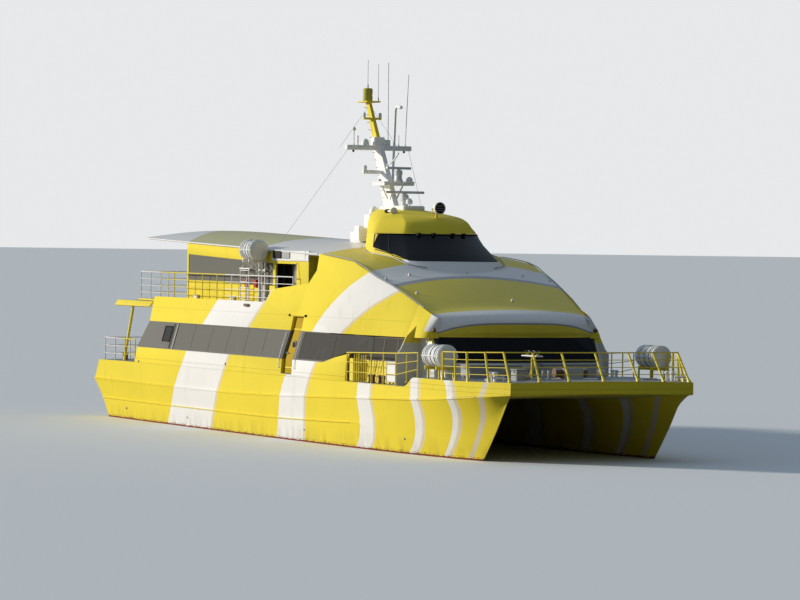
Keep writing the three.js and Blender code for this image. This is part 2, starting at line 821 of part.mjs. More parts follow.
// Upper roof: x, half-breadth, edge z, centre rise
const ROOF = [
  [ROOF_AFT_X, 3700, 8350, 300],
  [ROOF_AFT_X + 700, 3900, 8340, 380],
  [-12500, 3940, 8230, 420],
  [-4600, 3940, 8000, 420],
  [PEAK_X - GAP, 3978, 7790, 420],
];
const roofRing = (drop) => ([x, y, z, rise]) => {
  const out = [];
  for (let i = 0; i <= 10; i++) {
    const s = i / 5 - 1;
    out.push([x, s * y, z + rise * (1 - s * s) - drop]);
  }
  return out;
};
const roofTop = ROOF.map(roofRing(0));
put("upper_roof", plate(roofTop, ROOF.map(roofRing(WALL))), "white");
// everything above the roof's underside
const aboveRoof = plate(
  ROOF.map(([x, y, z, r]) => roofRing(0)([x, y, z + 2000, r])),
  ROOF.map(roofRing(WALL + GAP)),
);

// Upper deckhouse: a ring of walls with its windows and after door cut
const houseFrontX = 1200;
const HOUSE_DOOR = { y: 430, low: UPPER_DECK_Z + 130, top: UPPER_DECK_Z + 2130 };
const HOUSE_BAND = [
  [HOUSE_AFT_X + 170, 6480],
  [-2400, 6380],
  [-2400, 7340],
  [HOUSE_AFT_X + 170, 7640],
];
// open doorway in each side, forward of the windows: x and z limits
const SIDE_DOORWAY = { aft: -2150, fore: 0, low: UPPER_DECK_Z + 140, top: 7340 };
const houseBand = (y0, y1) => prism(HOUSE_BAND, "y", y0, y1);
const houseRing = (outer, inner) =>
  cut(
    box(HOUSE_AFT_X + outer, houseFrontX - outer, outer - HOUSE_Y, HOUSE_Y - outer, UPPER_DECK_Z + GAP, 9000),
    box(HOUSE_AFT_X + inner, houseFrontX - inner, inner - HOUSE_Y, HOUSE_Y - inner, 5000, 9500),
  );
const houseWalls = cut(
  houseRing(0, WALL),
  aboveRoof,
  houseBand(3000, 4500),
  houseBand(-4500, -3000),
  box(SIDE_DOORWAY.aft, SIDE_DOORWAY.fore, -4500, 4500, SIDE_DOORWAY.low, SIDE_DOORWAY.top),
  box(HOUSE_AFT_X - 50, HOUSE_AFT_X + 200, -HOUSE_DOOR.y - 6, HOUSE_DOOR.y + 6, HOUSE_DOOR.low - 6, HOUSE_DOOR.top + 6),
);
const houseHinge = aftHinge(HOUSE_AFT_X, HOUSE_DOOR.y, HOUSE_DOOR.low, HOUSE_DOOR.top);
put("upper_house", join(houseWalls, houseHinge.frame), "yellow");
const houseGlass = prism(
  inset(HOUSE_BAND, GAP),
  "y",
  HOUSE_Y - 55,
  HOUSE_Y - 15,
);
pair("upper_glass", houseGlass, "glass");
put(
  "upper_aft_door",
  join(
    box(HOUSE_AFT_X + 15, HOUSE_AFT_X + 60, -HOUSE_DOOR.y, HOUSE_DOOR.y - 6, HOUSE_DOOR.low, HOUSE_DOOR.top),
    houseHinge.leaf,
  ),
  "grey",
);

// Wheelhouse: level rings from the base up to the crown
// z, then x and y of: front middle, front corner, forward side, after side, after corner
const BRIDGE = [
  [7000, 8250, 7500, 2330, 4750, 2860, 3300, 2480, 750, 1200],
  [7600, 7550, 6900, 2100, 4600, 2720, 3300, 2360, 750, 1120],
  [8680, 6220, 5620, 1660, 4300, 2440, 3150, 2150, 800, 1000],
  [9120, 5850, 5400, 1480, 3950, 2100, 3000, 1900, 800, 1000],
  [9340, 5400, 4980, 1380, 3700, 1800, 2800, 1600, 780, 950],
  [9540, 4400, 4050, 950, 3200, 1250, 2500, 1200, 760, 800],
  [9700, 3100, 2850, 500, 2500, 720, 2000, 750, 760, 600],
];
const bridgeRing = ([z, fx, cx, cy, sx, sy, ax, ay, bx, by], d) => {
  const half = [
    [cx - d, cy - 0.7 * d],
    [sx - 0.3 * d, sy - d],
    [ax, ay - d],
    [bx + d, by - 0.4 * d],
  ];
  return [
    [fx - d, 0],
    ...half,
    ...half.map(([x, y]) => [x, -y]).reverse(),
  ].map(([x, y]) => [x, y, z]);
};
const bridgeSolid = (d, drop = 0) =>
  loft(BRIDGE.map((row) => bridgeRing(row, d).map(([x, y, z]) => [x, y, z - drop])), [0, 1]);
// everything below the roof and the forehead
const lid = [...roofTop.slice(2), ...foreheadTop.slice(1, FOREHEAD.length)];
const below = plate(
  lid.map((ring) => ring.map(([x, y, z]) => [x, y, z + GAP])),
  lid.map((ring) => ring.map(([x, y]) => [x, y, 5000])),
);
const BRIDGE_BAND = [
  [8500, 7590],
  [7020, 7590],
  [4560, 8110],
  [4560, 8670],
  [8500, 8670],
];
const bridgeHole = prism(BRIDGE_BAND, "y", -4000, 4000);
const bridgeRoofZ = 8720;
const upperHalf = box(-1000, 9000, -4000, 4000, bridgeRoofZ, 11000);
const bridgeShell = cut(bridgeSolid(0), bridgeSolid(WALL, 70), below);
put("wheelhouse", cut(bridgeShell, bridgeHole, moved(upperHalf, 0, 0, -GAP)), "yellow");
put("wheelhouse_roof", bridgeShell.intersect(upperHalf), "yellow");
const bridgeGlass = cut(bridgeSolid(15), bridgeSolid(55), below).intersect(
  prism(inset(BRIDGE_BAND, GAP), "y", -4000, 4000),
);
put("wheelhouse_glass", bridgeGlass, "glass");

// Mast: a white lower part with its platforms, a yellow upper part, raked aft
const bridgeTopZ = 9700;
const mastX = (z) => MAST_X - MAST_RAKE * (z - bridgeTopZ - 100);
const mastStep = (z, along, across) => [
  [mastX(z) - along, -across, z],
  [mastX(z) + along, -across, z],
  [mastX(z) + along, across, z],
  [mastX(z) - along, across, z],
];
const lowerMast = join(
  loft([mastStep(bridgeTopZ + GAP, 290, 300), mastStep(11000, 250, 230), mastStep(12480, 210, 190)], [0, 1]),
  prism([[60, -420], [1250, -700], [1780, -700], [1780, 700], [1250, 700], [60, 420]], "z", 10720, 10890),
  box(mastX(12300) - 190, mastX(12300) + 90, -1530, 1530, 12230, 12350),
  box(mastX(11280) - 90, mastX(11280) + 90, -1000, 0, 11230, 11330),
  box(mastX(12500) - 60, mastX(12500) + 300, -300, 200, 12340, 12800),
  rod([mastX(12300), -1180, 12300], [mastX(12300), -1180, 13050], 18),
  rod([mastX(12300), 1250, 12300], [mastX(12300) + 100, 1330, 15500], 18),
  rod([mastX(12300) - 20, 450, 12300], [mastX(12300) - 20, 420, 16000], 18),
  rod([400, 360, 10850], [400, 450, 14050], 45, 6),
);
put("mast_lower", lowerMast, "white");
const topZ = 14300;
const upperMast = join(
  loft([mastStep(12480 + GAP, 170, 150), mastStep(topZ + 10, 130, 110)], [0, 1]),
  box(mastX(topZ) - 430, mastX(topZ) + 520, -330, 330, topZ, topZ + 60),
  box(mastX(13600) - 90, mastX(13600) + 90, -420, 420, 13560, 13650),
  rod([mastX(topZ) - 100, 0, topZ + 30], [mastX(topZ) - 100, 0, topZ + 620], 210, 12),
  rod([mastX(topZ) - 100, 0, topZ + 600], [mastX(topZ) - 100, 0, 16150], 18),
  rod([mastX(topZ) + 420, 250, topZ + 30], [mastX(topZ) + 420, 250, 15950], 18),
);
// the upper mast starts above the box on the crosstrees, and is cut back from it
put("mast_upper", cut(upperMast, moved(lowerMast, 0, 0, GAP), lowerMast), "yellow");

// Radar scanners on their pedestals: x, y, pedestal foot z, pedestal height, scanner length, its turn
const RADARS = {
  radar_upper: [1480, 100, 10890, 480, 1250, 1.75],
  radar_lower: [2300, 0, 9700, 640, 1800, 1.57],
};
for (const [name, [x, y, z, h, length, turn]] of Object.entries(RADARS)) {
  const foot = rod([x, y, z + GAP], [x, y, z + h], 190, 8, 130);
  put(name + "_pedestal", foot, "white");
  const bar = fromGeometry(
    new THREE.BoxGeometry(length, 150, 110).rotateZ(turn).translate(x, y, z + h + 90),
  );
  put(name + "_scanner", join(bar, rod([x, y, z + h + 2 * GAP], [x, y, z + h + 60], 60, 8)), "grey");
}
put(
  "searchlight",
  cut(
    join(
      rod([5300, 0, 9000], [5300, 0, 9700], 45, 6),
      rod([5200, 0, 9760], [5630, 0, 9760], 230, 12, 260),
    ),
    moved(bridgeShell.intersect(upperHalf), 0, 0, GAP),
    bridgeSolid(WALL),
  ),
  "white",
);

// Liferaft canisters and their cradles: x, y, centre z, length, foot z
const RAFTS = {
  raft_fore_starboard: [14650, -4500, 3960, 1500],
  raft_fore_port: [15600, 4500, 3960, 1500],
  raft_upper_starboard: [-3270, -4430, 7900, 1250],
  raft_upper_port: [-3270, 4430, 7900, 1250],
};
for (const [name, [x, y, z, length]] of Object.entries(RAFTS)) {
  const r = RAFT_D / 2;
  const canister = join(
    rod([x - length / 2 + 60, y, z], [x + length / 2 - 60, y, z], r, 16),
    rod([x - length / 2, y, z], [x - length / 2 + 60.5, y, z], r * 0.82, 16, r),
    rod([x + length / 2 - 60.5, y, z], [x + length / 2, y, z], r, 16, r * 0.82),
  );
  put(name, canister, "white");
}

// A square bar along a line of points, mitred where it turns in plan.
function bar(points, r) {
  const rings = points.map(([x, y, z], i) => {
    const [px, py] = points[Math.max(i - 1, 0)];
    const [nx, ny] = points[Math.min(i + 1, points.length - 1)];
    const unit = (a, b) => [a / Math.hypot(a, b), b / Math.hypot(a, b)];
    const [ax, ay] = i ? unit(x - px, y - py) : unit(nx - x, ny - y);
    const [bx, by] = i + 1 < points.length ? unit(nx - x, ny - y) : [ax, ay];
    const [tx, ty] = unit(ax + bx, ay + by);
    const reach = r / Math.max(tx * ax + ty * ay, 0.5);
    return [
      [x - ty * reach, y + tx * reach, z - r],
      [x + ty * reach, y - tx * reach, z - r],
      [x + ty * reach, y - tx * reach, z + r],
      [x - ty * reach, y + tx * reach, z + r],
    ];
  });
  const turned = Math.abs(points[0][0] - points[1][0]) < Math.abs(points[0][1] - points[1][1]);
  return loft(rings, turned ? [0, 2] : [1, 2]);
}
// Rails: a top line, its feet, bar heights as shares, and posts along each leg
function railing({ top, feet, bars, posts, radius = 24 }) {
  const parts = bars.map((share) =>
    bar(
      top.map((p, i) => p.map((v, k) => lerp(feet[i][k], v, share))),
      radius * (share === 1 ? 0.95 : 0.7),
    ),
  );
  for (let i = 0; i + 1 < top.length; i++)
    for (let j = i ? 1 : 0; j <= posts[i]; j++) {
      const t = j / posts[i];
      const f = feet[i].map((v, k) => lerp(v, feet[i + 1][k], t));
      const h = top[i].map((v, k) => lerp(v, top[i + 1][k], t));
      parts.push(rod(f, h, radius * 1.3));
    }
  return join(...parts);
}
const bowFeet = [
  [16450, 4690, 3040],
  [17700, 4460, 3045],
  [19420, 3930, 3075],
  [19680, 1500, 3120],
  [19680, -1500, 3120],
  [19420, -3930, 3075],
  [17200, -4560, 3045],
  [15500, -4780, 3040],
];
const bowTop = bowFeet.map(([x, y, z], i) =>
  i === 0 || i === 7 ? [x, y, 4150] : i === 1 || i === 6 ? [x - 150, y, 4170] : [x - 760, y * 0.97, 4220],
);
put(
  "bow_rail",
  cut(
    railing({ top: bowTop, feet: bowFeet, bars: [0.34, 0.67, 1], posts: [2, 2, 1, 3, 1, 2, 2] }),
    overDeck,
  ),
  "yellow",
);
const bayRail = railing({
  top: [
    [7150, 4900, 3840],
    [11600, 4880, 3960],
    [13450, 4850, 4040],
  ],
  feet: [
    [7150, 4900, DECK_Z - 20],
    [11600, 4880, DECK_Z - 20],
    [13450, 4850, FOREDECK_Z - 20],
  ],
  bars: [0.34, 0.67, 1],
  posts: [4, 2],
});
pair("side_rail", cut(bayRail, overDeck), "yellow");
const sternFeet = [
  [-15420, 4860, DECK_Z - 40],
  [-19250, 4780, DECK_Z - 60],
  [-19330, 1000, DECK_Z - 20],
];
const sternRail = railing({
  top: sternFeet.map(([x, y]) => [x, y, 3680]),
  feet: sternFeet,
  bars: [0.34, 0.67, 1],
  posts: [3, 3],
});
pair("stern_rail", cut(sternRail, overDeck), "white");
const upperFeet = [
  [200, 4150, UPPER_DECK_Z - 15],
  [-14200, 4150, UPPER_DECK_Z - 15],
  [-16600, 4120, UPPER_DECK_Z - 15],
  [-16600, 0, UPPER_DECK_Z - 15],
  [-16600, -4120, UPPER_DECK_Z - 15],
  [-14200, -4150, UPPER_DECK_Z - 15],
  [200, -4150, UPPER_DECK_Z - 15],
];
put(
  "upper_rail",
  cut(
    railing({
      top: upperFeet.map(([x, y]) => [x, y, 6790]),
      feet: upperFeet,
      bars: [0.34, 0.67, 1],
      posts: [9, 2, 2, 2, 2, 9],
    }),
    moved(upperDeck, 0, 0, GAP),
  ),
  "white",
);

// Raft cradles: two saddles, on legs forward and on bracket posts on the upper deck
const saddle = (x, y, z) => rod([x - 2000, y, z], [x + 2000, y, z], RAFT_D / 2 + GAP, 16);
const saddleZ = -RAFT_D / 2 + 60; // top of the saddle beam from the canister's middle
function deckCradle(x, y, z) {
  const out = Math.sign(y);
  const parts = [box(x - 500, x + 500, y - 60, y + 60, z - 540, z - 470)];
  for (const sx of [x - 470, x + 470]) {
    parts.push(box(sx - 30, sx + 30, y - 400, y + 400, z - 540, z + saddleZ));
    for (const leg of [-370, 250])
      parts.push(rod([sx, y + leg * out, FOREDECK_Z - 40], [sx, y + leg * out, z - 500], 40));
  }
  return join(...parts);
}
function bracketCradle(x, y, z) {
  const out = Math.sign(y);
  const postY = 4020 * out;
  const parts = [box(x - 330, x + 330, postY - 30, postY + 30, z - 900, z - 840)];
  for (const sx of [x - 300, x + 300]) {
    parts.push(box(sx - 30, sx + 30, postY - 30, postY + 30, UPPER_DECK_Z - 20, z + saddleZ));
    const ends = [postY - 60 * out, y + 380 * out].sort((a, b) => a - b);
    parts.push(box(sx - 30, sx + 30, ...ends, z - 540, z + saddleZ));
    parts.push(rod([sx, postY, z - 990], [sx, y + 250 * out, z - 500], 32));
  }
  return join(...parts);
}
for (const [name, [x, y, z]] of Object.entries(RAFTS)) {
  const upper = name.includes("upper");
  put(
    name.replace("raft", "cradle"),
    cut(
      (upper ? bracketCradle : deckCradle)(x, y, z),
      saddle(x, y, z),
      upper ? moved(upperDeck, 0, 0, GAP) : overDeck,
    ),
    "white",
  );
}

// Mooring gear and windlass on the bow deck, standing on one pad
const bittX = 17300;
const foredeckGear = join(
  box(16300, 17700, -1500, 1500, 3080, 3140),
  box(16600, 17300, -420, 420, 3100, 3560),
  rod([16950, -700, 3380], [16950, 700, 3380], 190, 10),
  ...[-1350, -1100, 1100, 1350].map((y) => rod([bittX, y, 3100], [bittX, y, 3480], 70, 8)),
);
put("windlass", cut(foredeckGear, overDeck), "steel");

// Waterjets: a housing on the transom, a steering nozzle and a reversing bucket on each hull
const jetY = DEMI_Y;
const housing = join(
  rod([-18930, jetY, JET_Z], [-18000, jetY, JET_Z], 360, 16),
  box(-19190, -18800, jetY - 70, jetY + 70, JET_Z + 268, JET_Z + 308),
  box(-19190, -18800, jetY - 70, jetY + 70, JET_Z - 308, JET_Z - 268),
).intersect(moved(transomTool, -GAP, 0, 0));
pair("jet_housing", housing, "steel");
const steeringX = -19130;
const bucketPivotX = -19350;
const nozzle = join(
  cut(
    rod([-19080, jetY, JET_Z], [-19500, jetY, JET_Z], 250, 16, 215),
    rod([-19000, jetY, JET_Z], [-19600, jetY, JET_Z], 200, 16, 180),
  ),
  // steering pivots above and below, and the bucket's pivots at the sides
  ...[-1, 1].flatMap((s) => [
    rod([steeringX, jetY, JET_Z + 215 * s], [steeringX, jetY, JET_Z + (268 - GAP) * s], 30, 10),
    rod([bucketPivotX, jetY + 205 * s, JET_Z], [bucketPivotX, jetY + (262 - GAP) * s, JET_Z], 35, 10),
  ]),
);
pair("jet_nozzle", nozzle, "steel");
const arc = (radius, degrees) => [
  bucketPivotX - radius * Math.cos((degrees * Math.PI) / 180),
  JET_Z + radius * Math.sin((degrees * Math.PI) / 180),
];
const shieldOutline = [
  ...[20, 35, 50, 65].map((d) => arc(500, d)),
  ...[65, 50, 35, 20].map((d) => arc(450, d)),
];
const armOutline = [arc(90, 100), arc(90, 190), arc(90, 260), arc(90, 330), arc(500, 22), arc(500, 62)];
const bucket = join(
  prism(shieldOutline, "y", jetY - 300, jetY + 300),
  prism(armOutline, "y", jetY - 300, jetY - 262),
  prism(armOutline, "y", jetY + 262, jetY + 300),
);
pair("jet_bucket", bucket, "steel");

// Air unit behind the wheelhouse
put(
  "roof_unit",
  cut(box(-1500, -300, -700, 700, 7900, 8750), below),
  "white",
);

export default group;
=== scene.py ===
"""Looks of a forty metre passenger catamaran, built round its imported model. Metres, +X to the bow, +Z up."""

import math

import bmesh
import bpy
from mathutils import Matrix, Vector


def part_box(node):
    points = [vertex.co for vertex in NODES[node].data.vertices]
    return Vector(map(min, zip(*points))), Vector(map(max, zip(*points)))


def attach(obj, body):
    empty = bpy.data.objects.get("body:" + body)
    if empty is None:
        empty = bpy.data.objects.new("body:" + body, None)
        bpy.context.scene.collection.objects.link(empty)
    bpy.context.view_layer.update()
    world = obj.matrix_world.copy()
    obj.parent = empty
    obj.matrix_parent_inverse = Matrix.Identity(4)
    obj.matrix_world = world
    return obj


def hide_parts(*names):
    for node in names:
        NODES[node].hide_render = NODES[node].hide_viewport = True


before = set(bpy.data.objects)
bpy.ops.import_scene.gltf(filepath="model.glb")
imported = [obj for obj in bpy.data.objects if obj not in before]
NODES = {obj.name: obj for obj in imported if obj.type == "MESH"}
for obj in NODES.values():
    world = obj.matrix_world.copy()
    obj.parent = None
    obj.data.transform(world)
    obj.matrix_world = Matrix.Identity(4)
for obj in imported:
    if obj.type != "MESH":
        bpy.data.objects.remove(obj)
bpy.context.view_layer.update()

SIDES = (("port", 1), ("starboard", -1))

bl_info = {
    "name": "Passenger catamaran",
    "version": (1, 0, 0),
    "blender": (4, 5, 0),
    "location": "3D View > Sidebar > Ferry",
    "description": "Builds the hulls, houses, mast, rails and deck gear of a fast passenger catamaran",
    "category": "Object",
}

# Sizes shared with the model

# x, keel z, keel half-width, chine z, chine half-width, lower rail z, half-width there,
# half-width at the upper rail, inner half-width at the wet deck
HULL = (
    (-19.95, -1.35, 0.38, -0.9, 0.85, 0.88, 1.06, 1.22, 1.33),
    (-12.0, -1.52, 0.33, -0.9, 0.98, 0.87, 1.12, 1.23, 1.33),
    (-2.0, -1.6, 0.12, -0.9, 1.02, 0.87, 1.15, 1.23, 1.33),
    (6.0, -1.6, 0.06, -0.85, 0.93, 0.99, 1.12, 1.225, 1.33),
    (11.0, -1.54, 0.03, -0.7, 0.7, 1.15, 1.02, 1.2, 1.33),
    (14.0, -1.45, 0.02, -0.45, 0.43, 1.29, 0.83, 1.138, 1.28),
    (15.9, -1.15, 0.014, -0.15, 0.24, 1.42, 0.64, 1.058, 1.02),
    (17.05, 0.0, 0.012, 0.42, 0.13, 1.56, 0.43, 0.908, 0.76),
    (18.2, 1.3, 0.012, 1.48, 0.06, 1.85, 0.18, 0.658, 0.42),
    (18.85, 2.17, 0.012, 2.24, 0.03, 2.33, 0.07, 0.45, 0.17),
    (19.14, 2.535, 0.008, 2.545, 0.012, 2.555, 0.02, 0.24, 0.06),
)
HULL_Y = 3.78
# x and height of the upper rub rail
RAIL_A = (
    (-19.95, 1.735), (-12.0, 1.7), (-5.0, 1.69), (1.0, 1.8), (7.8, 2.0),
    (14.0, 2.21), (17.0, 2.39), (18.95, 2.56), (19.95, 2.64),
)
# x, deck edge y and z, y at the upper rub rail, y of the tunnel side
EDGE = (
    (-19.95, 4.98, 2.64, 5.01, 2.45),
    (-12.0, 4.985, 2.68, 5.01, 2.45),
    (6.0, 4.985, 2.68, 5.01, 2.45),
    (11.0, 4.96, 2.68, 5.01, 2.45),
    (12.4, 4.94, 2.68, 4.98, 2.45),
    (13.2, 4.92, 3.06, 4.95, 2.48),
    (14.0, 4.91, 3.06, 4.92, 2.5),
    (15.9, 4.83, 3.06, 4.84, 2.76),
    (17.05, 4.68, 3.065, 4.69, 3.02),
    (18.2, 4.42, 3.08, 4.44, 3.36),
    (18.95, 4.19, 3.09, 4.21, 3.63),
    (19.6, 3.99, 3.095, 4.0, 3.85),
    (19.95, 3.88, 3.1, 3.885, 3.8),
)
TRANSOM = (
    (-20.45, 5.0), (-19.48, 2.68), (-19.95, 1.735), (-19.28, 0.88),
    (-18.76, 0.0), (-18.35, -1.8), (-20.45, -1.8),
)
BOW_EDGE = (
    (19.56, -4.6), (19.6, -3.99), (19.95, -1.5), (19.95, 1.5),
    (19.6, 3.99), (19.56, 4.6), (20.75, 4.6), (20.75, -4.6),
)
BAND_HEAD = 4.57
# how far the front slope's plating stands inside the half-breadth in its table
SLOPE_INSET = 0.081
UPPER_DECK = 5.545
RAFT_RADIUS = 0.42
RAFT_RIB_RADIUS = 0.449
# x, then y at the deck, the band's foot and top, and y and z of the top edge
SIDE = (
    (2.6, 4.975, 4.95, 4.6, 4.06, 7.79),
    (6.0, 4.975, 4.95, 4.6, 4.1, 7.5),
    (8.0, 4.93, 4.89, 4.46, 4.0, 6.88),
    (9.05, 4.87, 4.83, 4.36, 3.85, 6.57),
    (9.9, 4.8, 4.76, 4.27, 3.74, 6.27),
    (10.7, 4.73, 4.68, 4.19, 3.66, 5.97),
    (11.43, 4.65, 4.6, 4.11, 3.53, 5.67),
)
# x and y of the side deck bay's wall, at the foot of its window and one metre over that
BAY_FOOT = ((7.05, 4.43), (9.05, 4.32), (11.41, 4.11))
BAY_HEAD = ((7.05, 4.31), (9.05, 4.2), (11.41, 3.99))
# x, half-breadth, edge z, centre rise
FOREHEAD = (
    (2.6, 4.06, 7.79, 0.42), (6.0, 4.1, 7.5, 0.33), (8.0, 4.0, 6.88, 0.26),
    (9.05, 3.85, 6.57, 0.23), (9.9, 3.74, 6.27, 0.21), (10.7, 3.66, 5.97, 0.19),
    (11.43, 3.53, 5.67, 0.17),
)
# nose rings: corner x, y, z, then middle x and z
NOSE = (
    (12.08, 3.37, 5.4, 12.75, 5.48), (12.34, 3.43, 5.05, 13.02, 5.18),
    (12.4, 3.58, 4.8, 12.98, 4.84), (12.35, 3.68, 4.66, 12.88, 4.66),
)
ROOF = (
    (-17.0, 3.7, 8.35, 0.3), (-16.3, 3.9, 8.34, 0.38), (-12.5, 3.94, 8.23, 0.42),
    (-4.6, 3.94, 8.0, 0.42), (2.6, 3.978, 7.79, 0.42),
)
# z, then x and y of: front middle, front corner, forward side, after side, after corner
BRIDGE = (
    (7.0, 8.25, 7.5, 2.33, 4.75, 2.86, 3.3, 2.48, 0.75, 1.2),
    (7.6, 7.55, 6.9, 2.1, 4.6, 2.72, 3.3, 2.36, 0.75, 1.12),
    (8.68, 6.22, 5.62, 1.66, 4.3, 2.44, 3.15, 2.15, 0.8, 1.0),
    (9.12, 5.85, 5.4, 1.48, 3.95, 2.1, 3.0, 1.9, 0.8, 1.0),
    (9.34, 5.4, 4.98, 1.38, 3.7, 1.8, 2.8, 1.6, 0.78, 0.95),
    (9.54, 4.4, 4.05, 0.95, 3.2, 1.25, 2.5, 1.2, 0.76, 0.8),
    (9.7, 3.1, 2.85, 0.5, 2.5, 0.72, 2.0, 0.75, 0.76, 0.6),
)
MAST_FOOT = (1.07, 9.8)
MAST_RAKE = 0.53
# stripe: lowest z, highest z, left edge as a cubic in z, width as a line in z, width of its edge band
STRIPES = (
    (-2.0, 3.4, -11.546, 0.584, 0.028, 0.0, 4.796, -0.068, 0.22),
    (4.5, 6.45, -13.34, 1.098, 0.0, 0.0, 4.856, -0.004, 0.24),
    (-2.0, 3.4, 0.292, 0.424, -0.145, 0.049, 2.551, -0.088, 0.24),
    (4.5, 8.0, 6.455, -2.333, 0.36, -0.002, 0.1, 0.569, 0.26),
    (-2.0, 2.8, 7.78, 1.169, -0.718, 0.136, 1.184, -0.019, 0.22),
    (-2.0, 3.4, 12.111, 1.333, -0.588, 0.081, 0.474, 0.038, 0.25),
    (-2.0, 3.4, 14.603, 1.095, -0.143, -0.032, 0.289, 0.05, 0.24),
    (-2.0, 3.4, 16.192, 0.908, -0.084, 0.0, 0.0, 0.0, 0.3),
)

# Geometry helpers


def lerp(a, b, t):
    return a + (b - a) * t


def table_at(rows, x):
    """The row of a table that starts with x, between its rows along straight lines."""
    if x <= rows[0][0]:
        return rows[0]
    for low, high in zip(rows, rows[1:]):
        if x <= high[0]:
            t = (x - low[0]) / (high[0] - low[0])
            return tuple(lerp(a, b, t) for a, b in zip(low, high))
    return rows[-1]


def fair(rows, stations):
    """The rows of a table at each station, joined by curves that never overshoot its points."""
    xs = [r[0] for r in rows]
    columns = list(zip(*rows))
    slopes = []
    for column in columns:
        d = [(column[i + 1] - column[i]) / (xs[i + 1] - xs[i]) for i in range(len(xs) - 1)]
        m = [d[0]]
        for i in range(1, len(d)):
            a, b = d[i - 1], d[i]
            m.append(0.0 if a * b <= 0 else 2 * a * b / (a + b))
        m.append(d[-1])
        slopes.append(m)
    out = []
    for x in stations:
        i = max(0, min(len(xs) - 2, sum(1 for v in xs[1:-1] if v <= x)))
        h = xs[i + 1] - xs[i]
        t = (x - xs[i]) / h
        row = []
        for column, m in zip(columns, slopes):
            a, b = column[i], column[i + 1]
            row.append(
                a * (1 + 2 * t) * (1 - t) ** 2
                + m[i] * h * t * (1 - t) ** 2
                + b * t * t * (3 - 2 * t)
                + m[i + 1] * h * t * t * (t - 1)
            )
        out.append(tuple(row))
    return out


def spaced(start, end, step):
    """Evenly spaced values from start to end, about step apart."""
    count = max(1, round((end - start) / step))
    return [lerp(start, end, i / count) for i in range(count + 1)]


